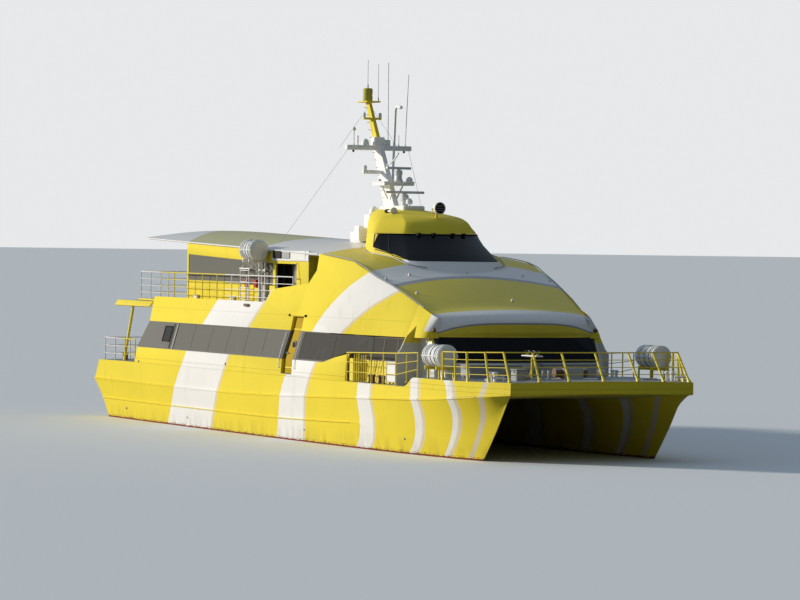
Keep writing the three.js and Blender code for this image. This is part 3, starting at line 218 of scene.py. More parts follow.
class Shape:
    """Points and faces of one piece, with a finish number for each face. Every form in it is closed."""

    def __init__(self):
        self.points, self.faces, self.finish = [], [], []

    def add(self, points, faces, finish=0):
        base = len(self.points)
        self.points += [Vector(p) for p in points]
        self.faces += [[base + i for i in f] for f in faces]
        self.finish += [finish] * len(faces)

    def rings(self, rings, finish=0, capped=True):
        """A skin through rings of equally many points."""
        n = len(rings[0])
        faces = [
            (r * n + i, r * n + (i + 1) % n, (r + 1) * n + (i + 1) % n, (r + 1) * n + i)
            for r in range(len(rings) - 1)
            for i in range(n)
        ]
        if capped:
            faces += [list(range(n))[::-1], [(len(rings) - 1) * n + i for i in range(n)]]
        else:
            last = (len(rings) - 1) * n
            faces += [(last + i, last + (i + 1) % n, (i + 1) % n, i) for i in range(n)]
        self.add([p for ring in rings for p in ring], faces, finish)

    def tube(self, path, radius, sides=8, finish=0, closed=False):
        """A round bar along a path, mitred at its corners."""
        path = [Vector(p) for p in path]
        count = len(path)
        rings = []
        normal = None
        for i, p in enumerate(path):
            before = path[i - 1] if i or closed else None
            after = path[(i + 1) % count] if i + 1 < count or closed else None
            into = (p - before).normalized() if before is not None else (after - p).normalized()
            out = (after - p).normalized() if after is not None else into
            tangent = (into + out).normalized() if (into + out).length > 1e-6 else into
            if normal is None:
                up = Vector((0, 0, 1)) if abs(tangent.z) < 0.9 else Vector((1, 0, 0))
                normal = up - tangent * up.dot(tangent)
            normal = (normal - tangent * normal.dot(tangent)).normalized()
            across = tangent.cross(normal)
            bend = (out - into)
            stretch = min(1.6, 1 / max(0.4, tangent.dot(out)))
            ring = []
            for k in range(sides):
                a = math.tau * (k + 0.5) / sides
                d = normal * math.cos(a) + across * math.sin(a)
                if bend.length > 1e-4:
                    b = bend.normalized()
                    d = d + b * d.dot(b) * (stretch - 1)
                ring.append(p + d * radius)
            rings.append(ring)
        self.rings(rings, finish, capped=not closed)

    def box(self, low, high, edge=0.008, finish=0, place=None):
        """A box whose edges are broken by a small chamfer."""
        low, high = Vector(low), Vector(high)
        middle, half = (low + high) / 2, (high - low) / 2
        e = min(edge, min(half) * 0.45)
        points, index = [], {}
        signs = (-1, 1)
        for sx in signs:
            for sy in signs:
                for sz in signs:
                    s = (sx, sy, sz)
                    for axis in range(3):
                        p = Vector(
                            [middle[k] + s[k] * (half[k] - (0 if k == axis else e)) for k in range(3)]
                        )
                        index[s, axis] = len(points)
                        points.append(place @ p if place else p)
        faces = []
        for axis in range(3):
            b, c = (axis + 1) % 3, (axis + 2) % 3
            for s in signs:
                corner = []
                for sb, sc in ((-1, -1), (1, -1), (1, 1), (-1, 1)):
                    key = [0, 0, 0]
                    key[axis], key[b], key[c] = s, sb, sc
                    corner.append(index[tuple(key), axis])
                faces.append(corner)
                for s2 in signs:
                    key = [0, 0, 0]
                    key[axis], key[b] = s, s2
                    ends = []
                    for s3 in signs:
                        key[c] = s3
                        ends.append(tuple(key))
                    faces.append(
                        (index[ends[0], axis], index[ends[1], axis], index[ends[1], b], index[ends[0], b])
                    )
        for sx in signs:
            for sy in signs:
                for sz in signs:
                    faces.append([index[(sx, sy, sz), k] for k in range(3)])
        self.add(points, faces, finish)

    def turned(self, start, end, profile, sides=20, finish=0):
        """A turned form: the profile gives the share of the way from start to end, and the radius."""
        start, end = Vector(start), Vector(end)
        along = (end - start).normalized()
        up = Vector((0, 0, 1)) if abs(along.z) < 0.9 else Vector((1, 0, 0))
        a = (up - along * up.dot(along)).normalized()
        b = along.cross(a)
        rings = []
        for share, radius in profile:
            middle = start.lerp(end, share)
            rings.append(
                [
                    middle
                    + (a * math.cos(math.tau * k / sides) + b * math.sin(math.tau * k / sides))
                    * max(radius, 0.0005)
                    for k in range(sides)
                ]
            )
        self.rings(rings, finish)

    def prism(self, outline, axis, low, high, finish=0):
        """A flat outline, given in the other two axes, pushed along one axis."""

        def place(p, c):
            return {"x": (c, *p), "y": (p[0], c, p[1]), "z": (*p, c)}[axis]

        self.rings([[place(p, low) for p in outline], [place(p, high) for p in outline]], finish)

    def plate(self, top, low, finish=0, low_finish=None):
        """A plate between two stacks of open rows, closed along its four edges."""
        rows, cols = len(top), len(top[0])
        points = [p for r in top for p in r] + [p for r in low for p in r]
        at = lambda r, c, s: s * rows * cols + r * cols + c
        upper, under = [], []
        for r in range(rows - 1):
            for c in range(cols - 1):
                upper.append((at(r, c, 0), at(r, c + 1, 0), at(r + 1, c + 1, 0), at(r + 1, c, 0)))
                under.append((at(r, c, 1), at(r + 1, c, 1), at(r + 1, c + 1, 1), at(r, c + 1, 1)))
        edge = [(0, c) for c in range(cols)] + [(r, cols - 1) for r in range(1, rows)]
        edge += [(rows - 1, c) for c in range(cols - 2, -1, -1)] + [(r, 0) for r in range(rows - 2, 0, -1)]
        for (r, c), (s, e) in zip(edge, edge[1:] + edge[:1]):
            upper.append((at(r, c, 0), at(r, c, 1), at(s, e, 1), at(s, e, 0)))
        base = len(self.points)
        self.add(points, upper, finish)
        self.faces += [[base + i for i in f] for f in under]
        self.finish += [finish if low_finish is None else low_finish] * len(under)

    def mesh(self, name, finishes):
        data = bpy.data.meshes.new(name)
        data.from_pydata(self.points, [], self.faces)
        for m in finishes:
            data.materials.append(m)
        data.polygons.foreach_set("material_index", self.finish)
        tidy(data)
        return data


def tidy(data, merge=1e-5, angle=32):
    """Merges doubles, turns every closed form outwards and marks the sharp edges."""
    bm = bmesh.new()
    bm.from_mesh(data)
    bmesh.ops.remove_doubles(bm, verts=bm.verts, dist=merge)
    bmesh.ops.recalc_face_normals(bm, faces=bm.faces)
    bm.to_mesh(data)
    bm.free()
    data.shade_smooth()
    data.set_sharp_from_angle(angle=math.radians(angle))
    data.update()


def place_piece(obj, body, slot, replaced=()):
    """Puts a finished piece in the scene, on its body."""
    if obj.name not in bpy.context.scene.collection.objects:
        bpy.context.scene.collection.objects.link(obj)
    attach(obj, body)
    if replaced:
        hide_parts(*replaced)
    return obj


def piece(name, shape, finishes, slot, body="vessel", replaced=()):
    obj = bpy.data.objects.new(name, shape.mesh(name, finishes))
    return place_piece(obj, body, slot, replaced)


def carved(shape, tools, common=()):
    """The mesh of a shape less every tool, kept only where every common shape lies too."""
    scene = bpy.context.scene.collection
    body = bpy.data.objects.new("carving", shape.mesh("carving", []))
    scene.objects.link(body)
    cutters = []
    for tool in (*common, *tools):
        cutter = bpy.data.objects.new("cutter", tool.mesh("cutter", []))
        scene.objects.link(cutter)
        cutters.append(cutter)
        step = body.modifiers.new("cut", "BOOLEAN")
        step.operation = "INTERSECT" if tool in common else "DIFFERENCE"
        step.solver, step.object = "EXACT", cutter
    data = evaluated(body)
    for o in (body, *cutters):
        bpy.data.objects.remove(o)
    return data


def evaluated(obj):
    """A plain mesh of an object with its modifiers."""
    bpy.context.view_layer.update()
    graph = bpy.context.evaluated_depsgraph_get()
    return bpy.data.meshes.new_from_object(obj.evaluated_get(graph))


def dress(data, finishes, pick):
    """Gives each face of a mesh its finish: pick takes the face's middle and normal, None gives the first."""
    data.materials.clear()
    for m in finishes:
        data.materials.append(m)
    for f in data.polygons:
        f.material_index = pick(f.center, f.normal) if pick else 0
    return data


def finished(data, node, finishes, pick, slot, name=None, angle=24):
    """Dresses a carved mesh and puts it in the place of a CAD node."""
    dress(data, finishes, pick)
    tidy(data, angle=angle)
    place_piece(bpy.data.objects.new(name or node + "_skin", data), "vessel", slot, (node,))


def reglaze(node, look):
    """Gives a CAD pane its glass."""
    NODES[node].data.materials.clear()
    NODES[node].data.materials.append(finish(look))


def skin(node, finishes, pick, slot, body="vessel", edge=0.012, name=None):
    """A copy of a CAD node with merged faces, broken edges and its own finishes."""
    data = bpy.data.meshes.new((name or node) + "_skin")
    bm = bmesh.new()
    bm.from_mesh(NODES[node].data)
    bmesh.ops.remove_doubles(bm, verts=bm.verts, dist=0.0001)
    bmesh.ops.dissolve_limit(bm, angle_limit=math.radians(0.4), verts=bm.verts, edges=bm.edges)
    bm.to_mesh(data)
    bm.free()
    dress(data, finishes, pick)
    obj = bpy.data.objects.new((name or node) + "_skin", data)
    bpy.context.scene.collection.objects.link(obj)
    if edge:
        bevel = obj.modifiers.new("broken edges", "BEVEL")
        bevel.width, bevel.segments, bevel.limit_method = edge, 2, "ANGLE"
        bevel.angle_limit = math.radians(28)
        bevel.use_clamp_overlap = True
        mesh = evaluated(obj)
        obj.modifiers.clear()
        obj.data = mesh
    obj.data.shade_smooth()
    obj.data.set_sharp_from_angle(angle=math.radians(30))
    place_piece(obj, body, slot, (node,))
    return obj


def repeat_tree():
    """Geometry nodes: copies of a part along a path at an even spacing, as one plain mesh."""
    tree = bpy.data.node_groups.get("Parts along a path")
    if tree:
        return tree
    tree = bpy.data.node_groups.new("Parts along a path", "GeometryNodeTree")
    face = tree.interface
    for label, kind in (
        ("Path", "Geometry"), ("Part", "Object"), ("Spacing", "Float"), ("Follow the path", "Bool"),
        ("Finish", "Material")
    ):
        face.new_socket(label, in_out="INPUT", socket_type="NodeSocket" + kind)
    face.new_socket("Row", in_out="OUTPUT", socket_type="NodeSocketGeometry")
    n = tree.nodes
    enter, leave = n.new("NodeGroupInput"), n.new("NodeGroupOutput")
    curve = n.new("GeometryNodeMeshToCurve")
    even = n.new("GeometryNodeResampleCurve")
    even.mode = "LENGTH"
    tangent = n.new("GeometryNodeInputTangent")
    align = n.new("FunctionNodeAlignRotationToVector")
    align.axis, align.pivot_axis = "X", "Z"
    part = n.new("GeometryNodeObjectInfo")
    copies = n.new("GeometryNodeInstanceOnPoints")
    choose = n.new("GeometryNodeSwitch")
    choose.input_type = "ROTATION"
    real = n.new("GeometryNodeRealizeInstances")
    paint = n.new("GeometryNodeSetMaterial")
    for giver, out, taker, into in (
        (enter, "Path", curve, "Mesh"), (curve, "Curve", even, "Curve"), (enter, "Spacing", even, "Length"),
        (even, "Curve", copies, "Points"), (enter, "Part", part, "Object"),
        (part, "Geometry", copies, "Instance"), (tangent, "Tangent", align, "Vector"),
        (enter, "Follow the path", choose, "Switch"), (align, "Rotation", choose, "True"),
        (choose, "Output", copies, "Rotation"), (copies, "Instances", real, "Geometry"),
        (real, "Geometry", paint, "Geometry"), (enter, "Finish", paint, "Material"),
        (paint, "Geometry", leave, "Row")
    ):
        tree.links.new(giver.outputs[out], taker.inputs[into])
    return tree


def repeated(name, path, spacing, part, finish, slot, body="vessel", follow=False, replaced=()):
    """A row of one small part, a Shape about the origin, along a path."""
    scene = bpy.context.scene.collection
    unit = bpy.data.objects.new("unit", part.mesh("unit", []))
    scene.objects.link(unit)
    line = bpy.data.meshes.new("path")
    line.from_pydata(path, [(i, i + 1) for i in range(len(path) - 1)], [])
    carrier = bpy.data.objects.new("carrier", line)
    scene.objects.link(carrier)
    row = carrier.modifiers.new("row", "NODES")
    row.node_group = repeat_tree()
    values = {"Part": unit, "Spacing": spacing, "Follow the path": follow, "Finish": finish}
    for item in row.node_group.interface.items_tree:
        if item.in_out == "INPUT" and item.name in values:
            row[item.identifier] = values[item.name]
    data = evaluated(carrier)
    data.name = name
    bpy.data.objects.remove(carrier)
    bpy.data.objects.remove(unit)
    obj = bpy.data.objects.new(name, data)
    tidy(data, merge=1e-6)
    return place_piece(obj, body, slot, replaced)


# Finishes


class Nodes:
    """Short calls for building a node tree."""

    def __init__(self, tree):
        self.tree = tree

    def new(self, kind, **inputs):
        node = self.tree.nodes.new(kind)
        for key, value in inputs.items():
            self.feed(node.inputs[key.replace("_", " ")], value)
        return node

    def feed(self, socket, value):
        if isinstance(value, bpy.types.NodeSocket):
            self.tree.links.new(value, socket)
        elif value is not None:
            socket.default_value = value

    def math(self, operation, *values, clamp=False):
        node = self.tree.nodes.new("ShaderNodeMath")
        node.operation, node.use_clamp = operation, clamp
        for socket, value in zip(node.inputs, values):
            self.feed(socket, value)
        return node.outputs[0]

    def sum(self, *values):
        total = values[0]
        for v in values[1:]:
            total = self.math("ADD", total, v)
        return total

    def cubic(self, z, a, b, c=0.0, d=0.0):
        """a + b z + c z2 + d z3"""
        out = self.math("MULTIPLY_ADD", z, d, c)
        out = self.math("MULTIPLY_ADD", z, out, b)
        return self.math("MULTIPLY_ADD", z, out, a)

    def both(self, *tests):
        out = tests[0]
        for t in tests[1:]:
            out = self.math("MULTIPLY", out, t)
        return out

    def above(self, value, limit):
        return self.math("GREATER_THAN", value, limit)

    def below(self, value, limit):
        return self.math("LESS_THAN", value, limit)

    def ramp(self, value, low, high, to_low=0.0, to_high=1.0):
        node = self.tree.nodes.new("ShaderNodeMapRange")
        for socket, v in zip(node.inputs, (value, low, high, to_low, to_high)):
            self.feed(socket, v)
        return node.outputs[0]

    def mix(self, factor, a, b, blend="MIX"):
        node = self.tree.nodes.new("ShaderNodeMix")
        node.data_type, node.blend_type = "RGBA", blend
        self.feed(node.inputs[0], factor)
        self.feed(node.inputs[6], a)
        self.feed(node.inputs[7], b)
        return node.outputs[2]

    def noise(self, vector, scale, detail=2.0, rough=0.5):
        node = self.new("ShaderNodeTexNoise", Vector=vector, Scale=scale, Detail=detail, Roughness=rough)
        return node.outputs["Fac"]

    def stretched(self, vector, x, y, z):
        node = self.tree.nodes.new("ShaderNodeVectorMath")
        node.operation = "MULTIPLY"
        self.feed(node.inputs[0], vector)
        node.inputs[1].default_value = (x, y, z)
        return node.outputs[0]

    def place(self):
        """Object coordinates as a vector and its three parts."""
        coords = self.new("ShaderNodeTexCoord").outputs["Object"]
        parts = self.new("ShaderNodeSeparateXYZ", Vector=coords)
        return (coords, *parts.outputs)


def shader_group(name, inputs, outputs, build):
    """A shader node group, built once. inputs: name and default; outputs: name and kind."""
    group = bpy.data.node_groups.get(name)
    if group:
        return group
    group = bpy.data.node_groups.new(name, "ShaderNodeTree")
    for label, default in inputs:
        kind = "NodeSocketVector" if default is None else "NodeSocketFloat"
        socket = group.interface.new_socket(label, in_out="INPUT", socket_type=kind)
        if default is not None:
            socket.default_value = default
    for label in outputs:
        group.interface.new_socket(label, in_out="OUTPUT", socket_type="NodeSocketFloat")
    n = Nodes(group)
    enter, leave = n.new("NodeGroupInput"), n.new("NodeGroupOutput")
    results = build(n, enter.outputs)
    for label, value in zip(outputs, results):
        n.feed(leave.inputs[label], value)
    return group


def stripes_group():
    """Masks of the raked white stripes and of the pale band on their forward edges."""

    def build(n, enter):
        parts = n.new("ShaderNodeSeparateXYZ", Vector=enter["Place"])
        x, z = parts.outputs[0], parts.outputs[2]
        white, band = 0.0, 0.0
        for low, high, a, b, c, d, w0, w1, edge in STRIPES:
            inside = n.both(n.above(z, low), n.below(z, high))
            across = n.math("SUBTRACT", x, n.cubic(z, a, b, c, d))
            width = n.math("MAXIMUM", n.cubic(z, w0, w1), 0.0)
            over = n.above(across, width)
            begun = n.above(across, 0.0)
            white = n.math("ADD", white, n.both(inside, begun, n.math("SUBTRACT", 1.0, over)))
            end = n.below(across, n.math("ADD", width, edge))
            band = n.math("ADD", band, n.both(inside, over, end, begun))
        return white, band

    return shader_group("Raked stripes", [("Place", None)], ("White", "Band"), build)


def weather_group():
    """Uneven paint: a shade to multiply by, a change of roughness, a height and a mask of run-down dirt."""

    def build(n, enter):
        place = enter["Place"]
        parts = n.new("ShaderNodeSeparateXYZ", Vector=place)
        broad = n.noise(n.stretched(place, 0.35, 0.35, 0.9), 1.0, 3.0)
        fine = n.noise(place, 22.0, 4.0, 0.6)
        runs = n.noise(n.stretched(place, 5.0, 5.0, 0.28), 1.0, 5.0, 0.65)
        runs = n.ramp(runs, 0.52, 0.78)
        patch = n.ramp(n.noise(place, 0.8, 2.0), 0.42, 0.62)
        dirt = n.both(runs, patch, enter["Runs"])
        shade = n.sum(0.93, n.math("MULTIPLY", broad, 0.12), n.math("MULTIPLY", fine, 0.03))
        rough = n.sum(n.math("MULTIPLY", fine, 0.12), n.math("MULTIPLY", dirt, 0.25), -0.06)
        dents = n.noise(n.stretched(place, 0.9, 0.9, 1.3), 1.0, 1.0)
        frames = n.math("SINE", n.math("MULTIPLY", parts.outputs[0], math.tau / 1.2))
        frames = n.math("MULTIPLY", n.math("POWER", n.math("ABSOLUTE", frames), 8.0), 0.10)
        height = n.sum(
            n.both(n.math("SUBTRACT", dents, frames), enter["Buckles"]),
            n.math("MULTIPLY", fine, 0.012),
        )
        return shade, rough, height, dirt

    return shader_group(
        "Weathered paint",
        [("Place", None), ("Runs", 0.5), ("Buckles", 0.1)],
        ("Shade", "Roughness", "Height", "Dirt"),
        build,
    )


def linear(colour, alpha=1.0):
    """Display values from 0 to 1 as scene-linear ones."""
    return (*[v / 12.92 if v <= 0.04045 else ((v + 0.055) / 1.055) ** 2.4 for v in colour], alpha)


def new_finish(name, colour):
    """A new finish, its nodes and its surface shader."""
    made = bpy.data.materials.new(name)
    made.use_nodes = True
    made.diffuse_color = linear(colour)
    return made, Nodes(made.node_tree), made.node_tree.nodes["Principled BSDF"]


def material(
    name, colour, rough=0.4, metal=0.0, runs=0.3, buckles=0.0, bump=0.35, coat=0.0, paint=None, **shader
):
    """A procedural finish. paint, if given, makes the colour from the nodes, the place and the base."""
    made, n, surface = new_finish(name, colour)
    coords, x, y, z = n.place()
    group = n.new("ShaderNodeGroup")
    group.node_tree = weather_group()
    n.feed(group.inputs["Place"], coords)
    n.feed(group.inputs["Runs"], runs)
    n.feed(group.inputs["Buckles"], buckles)
    base = linear(colour)
    colour_out = paint(n, (coords, x, y, z), base) if paint else base
    shaded = n.mix(1.0, colour_out, group.outputs["Shade"], "MULTIPLY")
    grime = n.math("MULTIPLY", group.outputs["Dirt"], 0.55)
    shaded = n.mix(grime, shaded, linear((0.42, 0.37, 0.26)))
    n.feed(surface.inputs["Base Color"], shaded)
    n.feed(surface.inputs["Roughness"], n.math("ADD", group.outputs["Roughness"], rough, clamp=True))
    surface.inputs["Metallic"].default_value = metal
    surface.inputs["Coat Weight"].default_value = coat
    for key, value in shader.items():
        surface.inputs[key.replace("_", " ")].default_value = value
    relief = n.new("ShaderNodeBump", Height=group.outputs["Height"], Strength=bump, Distance=0.05)
    n.feed(surface.inputs["Normal"], relief.outputs["Normal"])
    return made


def livery(name, grey_band=False, water=False):
    """Yellow paint with raked white stripes; the grey window band and the boot topping where asked for."""
    look = bpy.context.scene.ferry_finish

    def paint(n, place, base):
        coords, x, _, z = place
        stripes = n.new("ShaderNodeGroup")
        stripes.node_tree = stripes_group()
        n.feed(stripes.inputs["Place"], coords)
        out = n.mix(stripes.outputs["Band"], base, linear(look.edge_band))
        out = n.mix(stripes.outputs["White"], out, linear(look.white))
        if grey_band:
            foot = n.ramp(x, 4.98, 6.95, 3.37, 3.84)
            inside = n.both(n.above(z, foot), n.below(z, BAND_HEAD), n.below(x, 7.0))
            out = n.mix(inside, out, linear(look.band))
        lines = n.math("ADD", seam(n, z, 2.86, 0.014), seam(n, z, 2.665, 0.012))
        lines = n.math("ADD", lines, seam(n, z, 5.2, 0.008))
        out = n.mix(n.math("MULTIPLY", lines, 0.55), out, linear((0.45, 0.36, 0.12)))
        if water:
            edge = n.math("ADD", z, n.math("MULTIPLY", n.noise(coords, 3.0, 4.0, 0.7), 0.12))
            boot = n.below(edge, 0.13)
            weed = n.both(
                n.below(edge, 0.20), n.above(n.noise(n.stretched(coords, 1, 1, 3), 9.0, 5.0, 0.7), 0.55)
            )
            out = n.mix(weed, out, linear((0.36, 0.40, 0.15)))
            red = n.mix(
                n.noise(coords, 2.5, 5.0, 0.7), linear((0.40, 0.17, 0.09)), linear((0.62, 0.28, 0.13))
            )
            out = n.mix(boot, out, red)
            splash = n.ramp(z, 0.15, 0.75, 0.30, 0.0)
            splash = n.both(
                splash, n.ramp(n.noise(n.stretched(coords, 2.5, 2.5, 0.5), 1.0, 4.0), 0.4, 0.7),
                n.above(edge, 0.13)
            )
            out = n.mix(splash, out, linear((0.55, 0.46, 0.20)))
        return out

    return material(
        name, look.yellow, rough=0.72, runs=0.35, buckles=0.5, bump=0.45, paint=paint, Specular_IOR_Level=0.2
    )


def seam(n, value, level, width):
    """A thin line where a value crosses a level."""
    return n.below(n.math("ABSOLUTE", n.math("SUBTRACT", value, level)), width / 2)


def forehead_paint():
    """Yellow front slope with a white stripe and its grey edge, and the white nose over an arched foot."""
    look = bpy.context.scene.ferry_finish

    def paint(n, place, base):
        x, y, z = place[1:]
        side = n.math("DIVIDE", n.math("ABSOLUTE", y), 4.0)
        bow = n.math("MULTIPLY", side, side)
        start, end = n.math("MULTIPLY_ADD", bow, 0.4, 6.9), n.math("MULTIPLY_ADD", bow, 0.5, 8.45)
        stripe = n.both(n.above(x, start), n.below(x, end))
        edge = n.both(n.above(x, end), n.below(x, n.math("ADD", end, 0.3)))
        out = n.mix(stripe, base, linear(look.white))
        out = n.mix(edge, out, linear((0.68, 0.68, 0.68)))
        arch = n.math(
            "MULTIPLY",
            n.math("SUBTRACT", 1.0, n.math("POWER", n.math("ABSOLUTE", n.math("DIVIDE", y, 3.4)), 3.5)),
            0.36
        )
        arch = n.math("MAXIMUM", n.math("ADD", arch, 4.84), 4.84)
        forward = n.math("MULTIPLY_ADD", n.math("POWER", n.math("DIVIDE", y, 3.5), 2.0), 0.12, x)
        nose = n.both(n.above(forward, 12.0), n.above(z, arch))
        rim = n.both(n.above(forward, 12.2), n.above(z, n.math("SUBTRACT", arch, 0.06)), n.below(z, arch))
        out = n.mix(nose, out, linear(look.white))
        return n.mix(rim, out, linear((0.55, 0.56, 0.62)))

    return material(
        "forehead_paint", look.yellow, rough=0.4, runs=0.2, buckles=0.35, bump=0.4, coat=0.05, paint=paint
    )


def corner_paint():
    """Yellow corners that turn white round the nose."""
    look = bpy.context.scene.ferry_finish

    def paint(n, place, base):
        x, z = place[1], place[3]
        white = n.both(n.above(n.math("MULTIPLY_ADD", z, 0.25, x), 13.36), n.above(z, 4.84))
        return n.mix(white, base, linear(look.white))

    return material(
        "corner_paint", look.yellow, rough=0.7, runs=0.2, buckles=0.2, paint=paint, Specular_IOR_Level=0.2
    )


def roof_paint():
    """White roof with a raked yellow field across it; the field is a muted sage yellow, its own yellow with
    painted grazing-light shade and sky sheen.
    """
    look = bpy.context.scene.ferry_finish

    def paint(n, place, base):
        x, y = place[1:3]
        side = n.math("DIVIDE", n.math("ABSOLUTE", y), 3.94)
        inward = n.math("SUBTRACT", 1.0, n.math("MULTIPLY", side, side))
        fore = n.math("ADD", x, n.math("MULTIPLY", inward, 1.8))
        aft = n.math("ADD", x, n.math("MULTIPLY", n.math("SUBTRACT", 1.0, side), 5.0))
        field = n.both(n.above(aft, -11.5), n.below(fore, -3.5))
        # muted sage yellow: the field's yellow with painted grazing-light shade and sky sheen
        return n.mix(field, base, linear((0.82, 0.79, 0.55)))

    return material(
        "roof_paint", look.white, rough=0.42, runs=0.25, buckles=0.4, bump=0.4, coat=0.1, paint=paint
    )


def wheelhouse_paint():
    """Yellow wheelhouse on a white coaming in front."""
    look = bpy.context.scene.ferry_finish

    def paint(n, place, base):
        x, z = place[1], place[3]
        return n.mix(n.both(n.above(x, 6.3), n.below(z, 7.62)), base, linear(look.white))

    return material(
        "wheelhouse_paint", look.yellow, rough=0.62, runs=0.15, buckles=0.2, bump=0.35, paint=paint,
        Specular_IOR_Level=0.3
    )


def upper_rail_paint():
    """Yellow rails that are white at both ends of the deck."""
    look = bpy.context.scene.ferry_finish

    def paint(n, place, base):
        x = place[1]
        ends = n.math("ADD", n.above(x, -6.9), n.below(x, -14.1), clamp=True)
        return n.mix(ends, base, linear(look.white))

    return material("upper_rail_paint", look.yellow, rough=0.42, runs=0.15, paint=paint)


def stern_rail_paint():
    """Yellow rails that are white over the quarter."""
    look = bpy.context.scene.ferry_finish

    def paint(n, place, base):
        x = place[1]
        return n.mix(n.below(x, -17.2), base, linear(look.white))

    return material("stern_rail_paint", look.yellow, rough=0.42, runs=0.15, paint=paint)


def deck_finish():
    """Grey deck paint with a sanded, trodden surface."""
    look = bpy.context.scene.ferry_finish

    def paint(n, place, base):
        coords = place[0]
        grit = n.noise(coords, 160.0, 2.0, 0.7)
        worn = n.ramp(n.noise(coords, 1.4, 4.0), 0.45, 0.7)
        out = n.mix(n.math("MULTIPLY", grit, 0.5), base, linear((0.35, 0.37, 0.38)))
        return n.mix(n.math("MULTIPLY", worn, 0.35), out, linear((0.60, 0.59, 0.55)))

    return material("deck_paint", look.deck, rough=0.75, runs=0.1, bump=0.6, paint=paint)


def front_paint():
    """The front wall: pale grey up to the window sill, yellow over it."""
    look = bpy.context.scene.ferry_finish

    def paint(n, place, base):
        x, y, z = place[1:]
        beside = n.above(n.math("ABSOLUTE", y), 3.62)
        low = n.below(z, n.math("MULTIPLY_ADD", beside, 0.75, 3.62))
        band = n.both(n.above(z, 3.62), n.below(z, 4.62), n.math("SUBTRACT", 1.0, beside))
        crown = n.both(n.above(x, 12.0), n.above(z, 4.95))
        out = n.mix(low, base, linear((0.84, 0.82, 0.76)))
        out = n.mix(crown, out, linear(look.white))
        return n.mix(band, out, linear((0.13, 0.13, 0.135)))

    return material("front_paint", look.yellow, rough=0.42, runs=0.25, buckles=0.3, paint=paint)


def finish(name):
    """One finish by its plain name, made when it is first asked for."""
    if name in bpy.data.materials:
        return bpy.data.materials[name]
    look = bpy.context.scene.ferry_finish
    # colour, roughness and the other values of each plain finish
    plain = {
        "olive": ((0.74, 0.71, 0.22), 0.6, {"runs": 0.3}),
        "dim": ((0.20, 0.195, 0.19), 0.85, {"runs": 0.1, "Specular_IOR_Level": 0.08}),
        # darker gold on the boarding door: painted shade of the leaf in its recess
        "door_gold_painted_shade": ((0.73, 0.60, 0.06), 0.7, {"runs": 0.25, "Specular_IOR_Level": 0.15}),
        "house_yellow": (look.yellow, 0.7, {"runs": 0.3, "buckles": 0.3, "Specular_IOR_Level": 0.2}),
        "light_bar": ((0.60, 0.58, 0.54), 0.5, {"runs": 0.2}),
        "yellow": (look.yellow, 0.6, {"runs": 0.3, "buckles": 0.15, "Specular_IOR_Level": 0.3}),
        "yellow_rail": (look.yellow, 0.42, {"runs": 0.15}),
        "white": (look.white, 0.5, {"runs": 0.3, "Specular_IOR_Level": 0.35}),
        "band_fill": ((0.33, 0.32, 0.30), 0.75, {"runs": 0.15, "Specular_IOR_Level": 0.15}),
        "mast_white": ((0.98, 0.975, 0.95), 0.6, {"runs": 0.15, "Specular_IOR_Level": 0.3}),
        "band_grey": (look.band, 0.75, {"runs": 0.15, "buckles": 0.1, "Specular_IOR_Level": 0.15}),
        "pale_grey": ((0.66, 0.66, 0.65), 0.5, {"runs": 0.3}),
        "lining": ((0.62, 0.61, 0.58), 0.6, {"runs": 0.05}),
        "steel": ((0.62, 0.63, 0.64), 0.38, {"metal": 0.85, "runs": 0.4, "bump": 0.5}),
        "dark": ((0.09, 0.09, 0.095), 0.6, {"runs": 0.1, "Specular_IOR_Level": 0.2}),
        "webbing": ((0.16, 0.16, 0.17), 0.8, {"runs": 0.1}),
        "raft_shell": ((0.93, 0.91, 0.85), 0.38, {"runs": 0.5, "bump": 0.45, "coat": 0.2}),
        # grey end discs of the liferafts: painted shade of the canister ends
        "raft_end_painted_shade": ((0.56, 0.55, 0.53), 0.5, {"runs": 0.4}),
        "red": ((0.75, 0.10, 0.07), 0.42, {"runs": 0.2}),
        "brown": ((0.42, 0.31, 0.22), 0.6, {"runs": 0.4}),
        "rope": ((0.72, 0.67, 0.55), 0.9, {"runs": 0.2, "bump": 0.7}),
        "radar": ((0.86, 0.86, 0.84), 0.35, {"runs": 0.2, "coat": 0.2}),
    }
    # colour, roughness, transmission and specular level of each glazing; the side and forward panes are matte
    # with little shine, and their grey is their tint with a painted sky reflection
    glazing = {
        "side_glass_painted_sky_reflection": (look.band, 0.8, 0.0, 0.06),
        "forward_glass_painted_sky_reflection": ((0.32, 0.31, 0.29), 0.8, 0.0, 0.06),
        "dark_glass": ((0.05, 0.053, 0.06), 0.14, 0.0, 0.22),
    }
    makers = {
        "livery_hull": lambda: livery("livery_hull", water=True),
        "livery_side": lambda: livery("livery_side", grey_band=True),
        "forehead_paint": forehead_paint,
        "roof_paint": roof_paint,
        "front_paint": front_paint,
        "deck_paint": deck_finish,
        "corner_paint": corner_paint,
        "wheelhouse_paint": wheelhouse_paint,
        "upper_rail_paint": upper_rail_paint,
        "stern_rail_paint": stern_rail_paint,
    }
    if name in plain:
        colour, rough, more = plain[name]
        return material(name, colour, rough, **more)
    if name in glazing:
        return glass(name, *glazing[name])
    return makers[name]()


